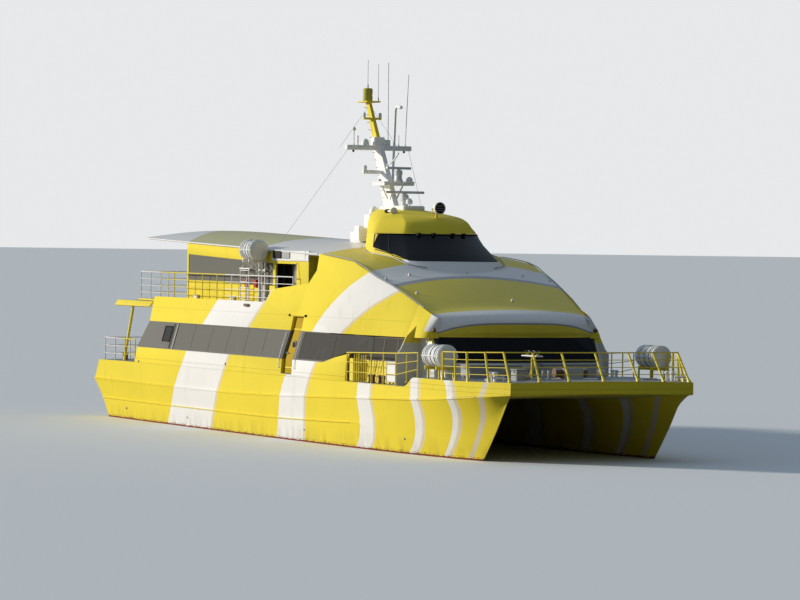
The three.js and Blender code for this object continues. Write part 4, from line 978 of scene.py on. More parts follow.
def glass(name, colour, rough, through, shine):
    """Tinted glazing with faint smears, partly seen through."""
    made, n, surface = new_finish(name, colour)
    coords = n.place()[0]
    smear = n.noise(n.stretched(coords, 0.8, 0.8, 0.5), 1.0, 4.0, 0.6)
    tint = n.mix(
        n.ramp(smear, 0.35, 0.7, 0.0, 0.3), linear(colour), linear([min(1, c * 1.25) for c in colour])
    )
    n.feed(surface.inputs["Base Color"], tint)
    n.feed(surface.inputs["Roughness"], n.ramp(smear, 0.3, 0.8, rough * 0.7, rough * 1.6))
    surface.inputs["Transmission Weight"].default_value = through
    surface.inputs["IOR"].default_value = 1.5
    surface.inputs["Specular IOR Level"].default_value = shine
    ripple = n.new("ShaderNodeBump", Height=n.noise(coords, 0.7, 1.0), Strength=0.08, Distance=0.05)
    n.feed(surface.inputs["Normal"], ripple.outputs["Normal"])
    return made


def finishes(*names):
    return [finish(name) for name in names]


class FerryFinish(bpy.types.PropertyGroup):
    """Paint colours of the vessel."""

    def colour(label, text, default):
        return bpy.props.FloatVectorProperty(
            name=label, description=text, default=default, size=3, min=0.0, max=1.0, subtype="COLOR_GAMMA"
        )

    yellow: colour("Yellow", "Hull and house paint", (0.935, 0.84, 0.21))
    white: colour("White", "Stripes, mast and roof", (0.94, 0.925, 0.90))
    edge_band: colour("Stripe edge", "Pale band along the stripes", (0.88, 0.82, 0.68))
    band: colour("Window band", "Grey paint round the side windows", (0.45, 0.44, 0.41))
    deck: colour("Deck", "Deck paint", (0.50, 0.52, 0.53))


class FerrySizes(bpy.types.PropertyGroup):
    """Sizes of the fittings."""

    def length(label, text, default):
        return bpy.props.FloatProperty(
            name=label, description=text, default=default, unit="LENGTH", subtype="DISTANCE"
        )

    rail_radius: length("Rail radius", "Radius of a top rail", 0.024)
    bar_radius: length("Bar radius", "Radius of a lower rail bar", 0.015)
    edge: length("Broken edge", "Width of the chamfer on plating edges", 0.012)
    sun: bpy.props.FloatProperty(
        name="Key light", description="Strength of the key light", default=3.45, min=0.0
    )


# Pieces


class FERRY_OT_stage(bpy.types.Operator):
    """Floor at the waterline, studio light and the camera"""

    bl_idname = "ferry.stage"
    bl_label = "Stage"

    def execute(self, context):
        scene = context.scene
        floor = Shape()
        floor.box((-1800, -1800, -0.4), (1800, 1800, 0.0), edge=0.0)
        data = floor.mesh("floor", [])
        ground = bpy.data.materials.new("floor_paint")
        ground.use_nodes = True
        surface = ground.node_tree.nodes["Principled BSDF"]
        n = Nodes(ground.node_tree)
        direct = n.new("ShaderNodeLightPath").outputs["Is Camera Ray"]
        n.feed(
            surface.inputs["Base Color"],
            n.mix(direct, linear((0.60, 0.61, 0.62)), linear((0.93, 0.93, 0.92)))
        )
        surface.inputs["Roughness"].default_value = 0.9
        surface.inputs["Specular IOR Level"].default_value = 0.1
        data.materials.append(ground)
        obj = bpy.data.objects.new("floor", data)
        scene.collection.objects.link(obj)
        sun = bpy.data.lights.new("key", "SUN")
        sun.energy, sun.angle = scene.ferry_sizes.sun, math.radians(5)
        sun.color = (1.0, 0.955, 0.87)
        lamp = bpy.data.objects.new("key", sun)
        lamp.rotation_euler = Vector((-0.62, -0.74, 0.25)).to_track_quat("Z", "Y").to_euler()
        scene.collection.objects.link(lamp)
        world = bpy.data.worlds.new("studio")
        scene.world = world
        world.use_nodes = True
        n = Nodes(world.node_tree)
        fill = world.node_tree.nodes["Background"]
        fill.inputs["Color"].default_value = (0.70, 0.88, 1.12, 1)
        toward = n.new(
            "ShaderNodeSeparateXYZ", Vector=n.new("ShaderNodeTexCoord").outputs["Generated"]
        ).outputs
        astern = n.math("ADD", n.math("MULTIPLY", toward[0], -0.86), n.math("MULTIPLY", toward[1], -0.5))
        fill_light = n.math(
            "ADD", n.ramp(toward[2], 0.05, 0.8, 0.0, 0.26), n.ramp(astern, -0.3, 1.0, 0.03, 0.30)
        )
        n.feed(fill.inputs["Strength"], fill_light)
        seen = n.new("ShaderNodeBackground")
        seen.inputs["Color"].default_value = (0.80, 0.81, 0.82, 1)
        path = n.new("ShaderNodeLightPath")
        mix = n.new("ShaderNodeMixShader")
        n.feed(mix.inputs[0], path.outputs["Is Camera Ray"])
        n.feed(mix.inputs[1], fill.outputs[0])
        n.feed(mix.inputs[2], seen.outputs[0])
        n.feed(world.node_tree.nodes["World Output"].inputs["Surface"], mix.outputs[0])
        scene.view_settings.view_transform = "Standard"
        self.camera(scene)
        return {"FINISHED"}

    def camera(self, scene):
        lens = bpy.data.cameras.new("camera")
        lens.sensor_width = 36.0
        lens.lens = 3860.06 * 36.0 / 800.0
        lens.clip_start, lens.clip_end = 1.0, 6000.0
        eye = bpy.data.objects.new("camera", lens)
        forward = Vector((-0.89628, 0.44319, -0.01633)).normalized()
        level = forward.cross(Vector((0, 0, 1))).normalized()
        over = level.cross(forward)
        roll = 0.0146
        right = level * math.cos(roll) + over * math.sin(roll)
        up = over * math.cos(roll) - level * math.sin(roll)
        turn = Matrix((right, up, -forward)).transposed()
        eye.matrix_world = Matrix.Translation((148.157, -72.269, 8.548)) @ turn.to_4x4()
        scene.collection.objects.link(eye)
        scene.camera = eye


def hull_rings(side):
    stations = spaced(-19.95, -12.0, 1.6)[:-1] + spaced(-12.0, 11.0, 1.5)[:-1] + spaced(11.0, 19.14, 0.26)
    rails = fair(RAIL_A, stations)
    rings = []
    for row, rail in zip(fair(HULL, stations), rails):
        x, keel_z, keel_w, chine_z, chine_w, low_z, low_w, high_w, inner_w = row
        top = rail[1] - 0.0003
        fade = max(0.0, min(1.0, (8.8 - x) / 1.6))
        lip = 0.003 + 0.042 * fade
        thick = min(0.03, max(0.004, (top - low_z) * 0.3))
        haunch = lerp(low_z + thick, top, 0.45)
        bottom = lerp(chine_z, haunch, 0.05)
        corner, bottom_edge = Vector((chine_w, chine_z)), Vector((low_w, low_z - thick))
        flank = Vector((lerp(keel_w, chine_w, 0.52) + 0.02 * chine_w, lerp(keel_z, chine_z, 0.45)))
        round_off = lerp(0.02, 0.42, max(0.0, min(1.0, (x - 6.0) / 4.0)))
        under, over = corner.lerp(flank, round_off), corner.lerp(bottom_edge, round_off)
        knuckle, head = Vector((low_w, low_z)), Vector((high_w, top))
        soften = max(0.0, min(1.0, (x - 8.0) / 2.5))
        below = bottom_edge.lerp(over, 0.45 * soften)
        above = Vector((low_w, low_z + thick)).lerp(head, 0.45 * soften)
        middle = (below + above) * 0.25 + knuckle * 0.5
        lips = [
            Vector((low_w + lip, low_z - 0.8 * thick)).lerp(below * 0.45 + middle * 0.55, soften),
            Vector((low_w + lip, low_z + 0.5 * thick)).lerp(above * 0.45 + middle * 0.55, soften),
        ]
        chine = [under, (under + over) * 0.25 + corner * 0.5, over]
        points = [
            (-keel_w, keel_z), (keel_w, keel_z),
            (lerp(keel_w, chine_w, 0.52) + 0.02 * chine_w, lerp(keel_z, chine_z, 0.45)),
            *chine, below, *lips, above, (high_w, top), (-inner_w, top),
            (-inner_w * 0.8, haunch), (-chine_w * 0.86, bottom),
            (-lerp(keel_w, chine_w, 0.52), lerp(keel_z, chine_z, 0.45)),
        ]
        rings.append([(x, side * (HULL_Y + w), z) for w, z in points])
    return rings


def prism_shape(outline, axis, low, high):
    tool = Shape()
    tool.prism(outline, axis, low, high)
    return tool


class FERRY_OT_hulls(bpy.types.Operator):
    """The two hulls, from the keel to the upper rub rail"""

    bl_idname = "ferry.hulls"
    bl_label = "Hulls"

    def execute(self, context):
        transom = prism_shape(TRANSOM, "y", -6, 6)
        for label, side in SIDES:
            body = Shape()
            body.rings(hull_rings(side))
            data = carved(body, [transom])
            finished(data, "hull_" + label, finishes("livery_hull"), None, "yellow_paint")
            self.fittings(label, side)
        return {"FINISHED"}

    def fittings(self, label, side):
        """Half-round beads on the rub rails and the overboard outlets."""
        bead = Shape()
        stations = spaced(-19.2, 7.4, 1.5)
        low = [(x, side * (HULL_Y + r[6] + 0.040), r[5]) for x, r in zip(stations, fair(HULL, stations))]
        bead.tube(low, 0.022, 8)
        stations = spaced(-19.85, 17.8, 1.2)
        rows = zip(stations, fair(EDGE, stations), fair(RAIL_A, stations))
        high = [(x, side * (e[3] + 0.012), r[1] + 0.035) for x, e, r in rows]
        bead.tube(high, 0.026, 8)
        piece("rub_rail_beads_" + label, bead, finishes("yellow"), "yellow_paint")
        outlets = Shape()
        for x, z, r in (
            (12.0, 0.6, 0.055), (-4.9, 2.95, 0.05), (-14.7, 2.72, 0.05), (-9.2, 0.42, 0.045),
            (3.1, 0.5, 0.04), (-16.4, 0.5, 0.06)
        ):
            y = self.skin_y(x, z)
            at = lambda off: (x, side * (y + off), z)
            outlets.turned(at(-0.02), at(0.018), ((0, r), (0.8, r), (1, r * 0.8)), 16)
            outlets.turned(at(-0.01), at(0.021), ((0, r * 0.62), (1, r * 0.6)), 14, finish=1)
        piece("overboard_outlets_" + label, outlets, finishes("steel", "dark"), "bare_metal")

    def skin_y(self, x, z):
        """Half-breadth of the outer plating at x and z."""
        row, rail, edge = fair(HULL, [x])[0], fair(RAIL_A, [x])[0][1], fair(EDGE, [x])[0]
        if z > rail:
            return lerp(edge[3], edge[1], (z - rail) / max(0.1, edge[2] - rail))
        if z > row[5]:
            return HULL_Y + lerp(row[6], row[7], (z - row[5]) / (rail - row[5]))
        return HULL_Y + lerp(row[4], row[6], (z - row[3]) / (row[5] - row[3]))


class FERRY_OT_decks(bpy.types.Operator):
    """The deck structure between and over the hulls"""

    bl_idname = "ferry.decks"
    bl_label = "Deck structure"

    def execute(self, context):
        stations = spaced(-19.95, 12.4, 1.6)[:-1] + spaced(12.4, 13.2, 0.2)[:-1] + spaced(13.2, 19.95, 0.3)
        body = Shape()
        rings = []
        for row, rail in zip(fair(EDGE, stations), fair(RAIL_A, stations)):
            x, edge_y, edge_z, rail_y, tunnel_y = row
            low = rail[1]
            lip = 0.002 + 0.038 * max(0.0, min(1.0, (18.2 - x) / 1.4))
            half = [
                (tunnel_y, low), (rail_y, low), (rail_y + lip, low + 0.01), (rail_y + lip, low + 0.06),
                (rail_y - 0.004, low + 0.075), (edge_y + 0.004, edge_z - 0.03), (edge_y - 0.02, edge_z),
                (edge_y * 0.5, edge_z + 0.045),
            ]
            other = [(-y, z) for y, z in reversed(half)]
            ring = [*half, (0, edge_z + 0.06), *other, (0, low + 0.04)]
            rings.append([(x, y, z) for y, z in ring])
        body.rings(rings)
        data = carved(body, [prism_shape(TRANSOM, "y", -6, 6), prism_shape(BOW_EDGE, "z", 1.5, 4)])
        deck = lambda c, normal: 1 if normal.z > 0.8 and c.z > 2.4 else 0
        finished(data, "deck_structure", finishes("livery_hull", "deck_paint"), deck, "yellow_paint")
        return {"FINISHED"}


def side_y(x, z):
    """y of the saloon side's outer face."""
    row = table_at(SIDE, max(x, 2.6))
    levels = ((2.65, row[1]), (3.37, row[2]), (BAND_HEAD, row[3]), (row[5], row[4]))
    return table_at(levels, z)[1]


class FERRY_OT_saloon(bpy.types.Operator):
    """The saloon's sides, side doors, glazing and the side deck bays"""

    bl_idname = "ferry.saloon"
    bl_label = "Saloon"

    def execute(self, context):
        edge = context.scene.ferry_sizes.edge
        for label, side in SIDES:
            inner = lambda c, normal, s=side: 1 if normal.y * s < -0.3 else 0
            skin("saloon_side_" + label, finishes("livery_side", "lining"), inner, "yellow_paint", edge=edge)
            # the door leaf's darker gold is painted shade of its recess
            skin(
                "boarding_door_" + label, finishes("door_gold_painted_shade", "lining"), inner, "yellow_paint",
                body="boarding_door_" + label, edge=0.008,
            )
            wall = lambda c, normal, s=side: 2 if normal.y * s < -0.3 else (1 if c.z > 3.56 else 0)
            skin(
                "bay_wall_" + label, finishes("yellow", "band_grey", "lining"), wall, "yellow_paint",
                edge=0.008
            )
            # the side and forward panes' matte grey holds their tint and a painted sky reflection
            for node, look in (
                ("saloon_glass_aft_", "side_glass_painted_sky_reflection"), ("saloon_glass_forward_", "forward_glass_painted_sky_reflection"),
                ("bay_glass_", "forward_glass_painted_sky_reflection")
            ):
                reglaze(node + label, look)
            self.band(label, side)
            self.doorway(label, side)
            self.bay(label, side)
        return {"FINISHED"}

    def band(self, label, side):
        """Mullions, the louvre and the light bar in the window band."""
        bars = Shape()
        for x in [-8.95 + 1.92 * i for i in range(5)] + [3.3, 4.35, 5.6]:
            low, high = (x, side_y(x, 3.43), 3.435 if x < 5 else 3.6), (x, side_y(x, 4.53), 4.525)
            self.strip(bars, side, low, high, 0.018, -0.016, -0.006)
        piece("band_mullions_" + label, bars, finishes("band_grey"), "grey_paint")
        filler = Shape()
        rings = []
        for z in (3.86, 4.56):
            y = side_y(7.0, z)
            foot = lerp(6.93, 7.0, z - 3.86)
            wall = lerp(4.366, 4.246, z - 3.56)
            plan = ((foot, y - 0.05), (8.3, wall - 0.02), (8.3, wall + 0.006), (foot, y - 0.004))
            rings.append([(a, side * b, z) for a, b in plan])
        filler.rings(rings)
        piece("band_end_" + label, filler, finishes("band_fill"), "grey_paint")
        light = Shape()
        self.strip(
            light, side, (-10.93, side_y(0, 3.40), 3.40), (-10.93, side_y(0, 4.5), 4.5), 0.09, -0.004, 0.022
        )
        piece("band_light_bar_" + label, light, finishes("light_bar"), "white_paint")
        # flat dark strips laid on the plating: painted shade standing in for a narrow recess and for the
        # opening behind the louvre slats
        dark = Shape()
        self.strip(
            dark, side, (-11.3, side_y(0, 3.42), 3.42), (-11.3, side_y(0, 4.5), 4.5), 0.16, -0.004, 0.012
        )
        self.strip(
            dark, side, (-11.85, side_y(0, 3.72), 3.72), (-11.85, side_y(0, 4.39), 4.39), 0.84, -0.004, 0.004
        )
        piece("band_recess_" + label, dark, finishes("dark"), "grey_paint")
        slat = Shape()
        slat.box((-0.39, -0.02, -0.008), (0.39, 0.03, 0.008), 0.003)
        path = [
            (-11.85, side * (side_y(0, 3.78) + 0.015), 3.78), (-11.85, side * (side_y(0, 4.34) + 0.015), 4.34)
        ]
        repeated("louvre_slats_" + label, path, 0.093, slat, finish("dim"), "grey_paint")
        frame_bar = Shape()
        ends = [(-12.27, 3.72), (-11.43, 3.72), (-11.43, 4.39), (-12.27, 4.39)]
        frame_bar.tube([(x, side * (side_y(0, z) + 0.02), z) for x, z in ends], 0.018, 6, closed=True)
        piece("louvre_frame_" + label, frame_bar, finishes("dim"), "grey_paint")

    def strip(self, shape, side, low, high, width, inner, outer):
        """A flat strip on the leaning side, from low to high (x, y, z of the outer face)."""
        half = width / 2
        corners = ((-half, inner), (half, inner), (half, outer), (-half, outer))
        shape.rings([[(x + dx, side * (y + off), z) for dx, off in corners] for x, y, z in (low, high)])

    def doorway(self, label, side):
        """Drip ledge with its lamps, sill, handrails, and the door's own port, lever and stiffeners."""
        ledge, place = Shape(), mirror_matrix(side)
        y = side_y(0, 5.2)
        ledge.box((0.78, y - 0.03, 5.19), (2.28, y + 0.055, 5.215), 0.006, place=place)
        ledge.box((0.98, y - 0.02, 5.165), (2.18, y + 0.04, 5.19), 0.006, place=place)
        piece("drip_ledge_" + label, ledge, finishes("yellow"), "yellow_paint")
        lamps = Shape()
        for x in (0.72, 2.31):
            lamps.turned(
                (x, side * (y - 0.03), 5.2), (x, side * (y + 0.075), 5.2),
                ((0, 0.055), (0.7, 0.055), (1, 0.035)), 14
            )
        piece("ledge_lamps_" + label, lamps, finishes("dark"), "grey_paint")
        sill = Shape()
        sill.box((0.88, 4.80, 2.755), (1.92, 5.0, 2.772), 0.005, place=place)
        for i in range(9):
            x = 0.96 + i * 0.11
            sill.box((x, 4.82, 2.770), (x + 0.03, 4.985, 2.779), 0.002, place=place)
        piece("door_sill_" + label, sill, finishes("steel"), "bare_metal")
        rails = Shape()
        # along, off the plating, height
        grip = (
            (0, -0.01, 3.0), (0, 0.055, 3.0), (0.045, 0.07, 3.7), (0.09, 0.055, 4.45), (0.09, -0.01, 4.45)
        )
        for x in (0.70, 2.26):
            rails.tube([(x + dx, side * (side_y(x, z) + off), z) for dx, off, z in grip], 0.016, 8)
        piece("door_handrails_" + label, rails, finishes("white"), "white_paint")
        leaf = Shape()
        depth = 0.14
        mid = lambda z: side_y(0, z) - depth
        port = lambda off: (1.50, side * (mid(3.95) + off), 3.95)
        leaf.turned(port(-0.03), port(0.022), ((0, 0.2), (0.7, 0.2), (1, 0.185)), 28, finish=2)
        leaf.turned(port(-0.03), port(0.026), ((0, 0.165), (1, 0.16)), 28, finish=1)
        lever = lambda x, off: (x, side * (mid(3.6) + off), 3.62)
        leaf.tube([lever(1.05, 0), lever(1.05, 0.07), lever(1.30, 0.07)], 0.014, 8, finish=2)
        leaf.turned(lever(1.05, -0.01), lever(1.05, 0.03), ((0, 0.06), (1, 0.05)), 16, finish=2)
        for z in (3.02, 4.62):
            leaf.box((1.02, mid(z) - 0.02, z - 0.03), (1.82, mid(z) + 0.02, z + 0.03), 0.008, place=place)
        piece(
            "door_fittings_" + label, leaf, finishes("yellow", "dark", "steel"), "bare_metal",
            body="boarding_door_" + label
        )

    def bay(self, label, side):
        """Soffit over the bay, its mullions, and the gear along the side deck."""
        soffit = Shape()
        top, low = [], []
        for x in spaced(7.08, 11.43, 0.87):
            wall = table_at(BAY_HEAD, x)[1] - 0.02
            plating = side_y(x, BAND_HEAD) - 0.03
            top.append([(x, side * wall, 4.60), (x, side * plating, 4.60)])
            low.append([(x, side * wall, 4.562), (x, side * plating, 4.562)])
        soffit.plate(top, low)
        piece("bay_soffit_" + label, soffit, finishes("yellow"), "yellow_paint")
        bars = Shape()
        for x in (8.3, 9.2, 10.25):
            foot, head = table_at(BAY_FOOT, x)[1], table_at(BAY_HEAD, x)[1]
            low, high = [(x, lerp(foot, head, z - 3.56) - 0.002, z) for z in (3.605, 4.475)]
            self.strip(bars, side, low, high, 0.06, -0.012, 0.0)
        piece("bay_mullions_" + label, bars, finishes("band_grey"), "grey_paint")
        gear, place = Shape(), mirror_matrix(side)
        for i in range(6):
            x = 7.75 + i * 0.21
            gear.tube([(x, side * 4.84, 2.70), (x, side * 4.84, 3.80)], 0.022, 8)
        gear.box((7.30, 4.62, 2.70), (7.66, 4.86, 3.62), 0.02, place=place)
        gear.box((10.50, 4.50, 2.78), (11.35, 4.78, 3.56), 0.03, finish=1, place=place)
        gear.box((10.46, 4.49, 3.56), (11.39, 4.80, 3.60), 0.012, finish=1, place=place)
        for x in (8.95, 9.25, 9.85, 10.15):
            gear.turned(
                (x, side * 4.72, 2.69), (x, side * 4.72, 3.02),
                ((0, 0.11), (0.06, 0.11), (0.1, 0.07), (0.82, 0.07), (0.86, 0.1), (1, 0.09)), 16, finish=2
            )
        piece("side_deck_gear_" + label, gear, finishes("yellow_rail", "white", "brown"), "yellow_paint")


def mirror_matrix(side):
    return Matrix.Diagonal((1, side, 1, 1))


class FERRY_OT_front(bpy.types.Operator):
    """The rounded front wall, its windows and the long sloping forehead"""

    bl_idname = "ferry.front"
    bl_label = "Front and forehead"

    def execute(self, context):
        inner = lambda c, normal: 1 if normal.x < -0.5 else 0
        skin("front_wall", finishes("front_paint", "lining"), inner, "yellow_paint", edge=0.01)
        reglaze("front_glass", "dark_glass")
        top = self.rows()
        under = lambda x, y, z: (x - 0.06, y * 0.985, z - 0.05) if x > 12.0 else (x, y * 0.985, z - 0.08)
        low = [[under(*p) for p in ring] for ring in top]
        slope = Shape()
        slope.plate(top, low, 0, 1)
        piece(
            "forehead_skin", slope, finishes("forehead_paint", "lining"), "yellow_paint",
            replaced=("forehead",)
        )
        self.edges()
        self.corners()
        return {"FINISHED"}

    def corners(self):
        """The rounded corners between the side plating and the nose."""
        shares = (0.0, 0.2, 0.4, 0.6, 0.8, 0.93, 1.0)
        swell = (0.018, 0.06, 0.085, 0.06, 0.04, 0.02, 0.012)
        for label, side in SIDES:
            top, low = [], []
            for x in (11.0, 11.15, 11.3, 11.43):
                t = (x - 11.0) / 0.43
                head = table_at(SIDE, x)[5] + 0.02
                outer, inner = [], []
                for share, proud in zip(shares, swell):
                    z = lerp(4.575, head, share)
                    y = side_y(x, z) + 0.004 + proud * t * t * (3 - 2 * t)
                    outer.append((x, side * y, z))
                    inner.append((x, side * (y - 0.05), z))
                top.append(outer)
                low.append(inner)
            for step in range(1, 13):
                a = math.pi / 2 * step / 12
                along, across = math.sin(a) ** 0.6, math.cos(a) ** 0.6 if step < 12 else 0.0
                x = 11.43 + 0.99 * along
                head = lerp(5.69, 5.37, along)
                outer, inner = [], []
                for share, proud in zip(shares, swell):
                    z = lerp(4.575, head, share)
                    start = side_y(11.43, lerp(4.575, 5.69, share)) + 0.004 + proud
                    end = lerp(3.42, 3.33, share)
                    y = end + (start - end) * across
                    outer.append((x, side * y, z))
                    inner.append((x - 0.05 * math.sin(a), side * (y - 0.05 * math.cos(a)), z))
                top.append(outer)
                low.append(inner)
            corner = Shape()
            corner.plate(top, low)
            piece("corner_fairing_" + label, corner, finishes("corner_paint"), "yellow_paint")
            stay = Shape()
            outline = ((11.5, 4.6), (12.2, 4.6), (11.74, 3.95), (11.5, 3.95))
            stay.prism(outline, "y", *sorted((side * 3.7, side * 3.76)))
            piece("corner_stay_" + label, stay, finishes("white"), "white_paint")

    def rows(self):
        """Rows of points down the slope and over the nose."""
        stations = spaced(2.6, 11.43, 0.44)
        across = [i / 12 - 1 for i in range(25)]
        rows = [
            [(x, s * (y - SLOPE_INSET), z + rise * (1 - s * s)) for s in across]
            for x, y, z, rise in fair(FOREHEAD, stations)
        ]
        last = fair(FOREHEAD, [11.0, 11.43])
        steps = [(i, *r) for i, r in enumerate(NOSE)]
        start = (-1.0, 11.43, last[1][1] - SLOPE_INSET, last[1][2], 11.43, last[1][2] + last[1][3])
        for i, cx, y, z, mx, mz in fair([start] + steps, spaced(-0.88, 3, 0.2)):
            rows.append([(lerp(mx, cx, s * s), s * y, lerp(mz, z, s * s)) for s in across])
        return rows

    def edges(self):
        """Gutter bars along both edges, the small deck lights and the two brow lamps."""
        bars = Shape()
        for side in (-1, 1):
            path = [
                (x, side * (y - 0.03), z + 0.035) for x, y, z, _ in fair(FOREHEAD, spaced(3.0, 11.3, 0.9))
            ]
            bars.tube(path, 0.022, 8)
        piece("forehead_gutters", bars, finishes("pale_grey"), "grey_paint")
        lights = Shape()
        for x, y in (
            (8.3, -3.75), (8.1, -2.6), (8.1, 0.0), (8.1, 2.6), (8.3, 3.75), (11.0, 0.6), (10.0, -3.2)
        ):
            row = fair(FOREHEAD, [x])[0]
            s = y / (row[1] - SLOPE_INSET)
            z = row[2] + row[3] * (1 - s * s)
            lights.turned(
                (x, y, z - 0.02), (x, y, z + 0.10), ((0, 0.06), (0.45, 0.06), (0.8, 0.05), (1, 0.02)), 16
            )
        piece("forehead_lamps", lights, finishes("white"), "white_paint")
        lens = Shape()
        for side in (-1, 1):
            lens.turned(
                (12.25, side * 3.6, 4.90), (12.52, side * 3.66, 4.89), ((0, 0.09), (0.6, 0.09), (1, 0.05)), 18
            )
        piece("brow_lamps", lens, finishes("brown"), "grey_paint")


class FERRY_OT_upperworks(bpy.types.Operator):
    """Upper deck, canopy, after walls, upper deckhouse and its roof"""

    bl_idname = "ferry.upperworks"
    bl_label = "Upper works"

    def execute(self, context):
        deck = lambda c, normal: 1 if normal.z > 0.8 else 0
        skin("upper_deck", finishes("yellow", "deck_paint"), deck, "deck_paint", edge=0.01)
        canopy = lambda c, normal: 1 if abs(normal.z) > 0.9 and c.z > 5.3 else 0
        skin("canopy", finishes("yellow", "pale_grey"), canopy, "yellow_paint", edge=0.015)
        wall = lambda c, normal: 1 if normal.x > 0.5 else 0
        skin("saloon_bulkhead", finishes("white", "lining"), wall, "white_paint", edge=0.01)
        for door in ("saloon_aft_door", "upper_aft_door"):
            skin(door, finishes("pale_grey"), None, "grey_paint", body=door, edge=0.006)
        self.house()
        self.roof()
        return {"FINISHED"}

    def lobby(self):
        """The partition seen through the two side doorways."""
        wall = Shape()
        for s in (-1, 1):
            wall.box((-4.2, 3.2, 5.64), (0.3, 3.26, 7.45), 0.01, place=mirror_matrix(s))
            wall.box((-2.5, 3.26, 5.7), (-1.8, 3.29, 7.35), 0.01, finish=1, place=mirror_matrix(s))
        piece("upper_lobby_wall", wall, finishes("lining", "dim"), "white_paint")

    def house(self):
        self.lobby()

        def pick(c, normal):
            if abs(c.y) < 3.87 and (
                normal.y * c.y < -0.01 or abs(normal.x) > 0.9 and -11.7 < c.x < 1.15 and not -2.2 < c.x < 0.05
            ):
                return 1
            if normal.x < -0.5:
                return 3
            return 0

        skin(
            "upper_house", finishes("house_yellow", "dim", "band_grey", "white"), pick, "yellow_paint",
            edge=0.012
        )
        # the upper panes' matte grey holds their tint and a painted sky reflection
        for label, _ in SIDES:
            reglaze("upper_glass_" + label, "side_glass_painted_sky_reflection")

    def roof(self):
        stations = spaced(-17.0, -12.5, 0.75)[:-1] + spaced(-12.5, 2.6, 1.1)
        across = [i / 10 - 1 for i in range(21)]
        ring = lambda row, drop: [(row[0], s * row[1], row[2] + row[3] * (1 - s * s) - drop) for s in across]
        rows = fair(ROOF, stations)
        roof = Shape()
        roof.plate([ring(r, 0) for r in rows], [ring(r, 0.08) for r in rows], 0, 1)
        piece(
            "upper_roof_skin", roof, finishes("roof_paint", "white"), "white_paint", replaced=("upper_roof",)
        )
        gutter = Shape()
        for side in (-1, 1):
            gutter.tube(
                [(x, side * (y + 0.012), z - 0.03) for x, y, z, _ in fair(ROOF, spaced(-16.2, 2.3, 1.3))],
                0.035, 8
            )
        gutter.tube([(-16.98, s * 3.68, 8.32 + 0.3 * (1 - s * s)) for s in spaced(-1, 1, 0.2)], 0.04, 8)
        piece("roof_gutters", gutter, finishes("white"), "white_paint")


def softened(corners, steps=4):
    """An open line through corners (x, y, share of each leg given to its curve)."""
    out = [Vector(corners[0][:2])]
    for a, b, c in zip(corners, corners[1:], corners[2:]):
        p = Vector(b[:2])
        start, end = p.lerp(Vector(a[:2]), b[2]), p.lerp(Vector(c[:2]), b[2])
        for i in range(steps + 1):
            t = i / steps
            out.append(start.lerp(p, t).lerp(p.lerp(end, t), t))
    out.append(Vector(corners[-1][:2]))
    return out


def bridge_half(row, inset=0.0):
    """Half a ring of the wheelhouse, from its front middle to its after middle."""
    mid, cx, cy, fx, fy, ax, ay, bx, by = row[1:]
    arc = [(lerp(mid, cx, s * s), s * cy) for s in (0.0, 0.17, 0.34, 0.51, 0.68, 0.84)]
    line = softened(
        [
            (*arc[-1], 0), (cx, cy, 0.16), (lerp(cx, fx, 0.55), lerp(cy, fy, 0.55) + 0.02, 0.3),
            (fx, fy, 0.3), (ax, ay, 0.35), (bx, by, 0.16), (bx, 0, 0)
        ]
    )
    half = [Vector(p) for p in arc[:-1]] + line
    if inset:
        moved = []
        for i, p in enumerate(half):
            a = half[i - 1] if i else Vector((half[1].x, -half[1].y))
            b = half[i + 1] if i + 1 < len(half) else Vector((half[-2].x, -half[-2].y))
            t = (b - a).normalized()
            moved.append(p + Vector((-t.y, t.x)) * inset)
        half = moved
        half[0].y = half[-1].y = 0.0
    return half


def bridge_ring(z, inset=0.0):
    row = fair(BRIDGE, [z])[0]
    half = bridge_half(row, inset)
    other = [Vector((p.x, -p.y)) for p in reversed(half[1:-1])]
    return [(p.x, p.y, z) for p in half + other]


def thinned(path, gap):
    """The points of a path that stand further than gap from the point before."""
    return [q for i, q in enumerate(path) if i == 0 or (Vector(q) - Vector(path[i - 1])).length > gap]


BRIDGE_BAND = ((8.6, 7.59), (7.02, 7.59), (4.56, 8.11), (4.56, 8.67), (8.6, 8.67))


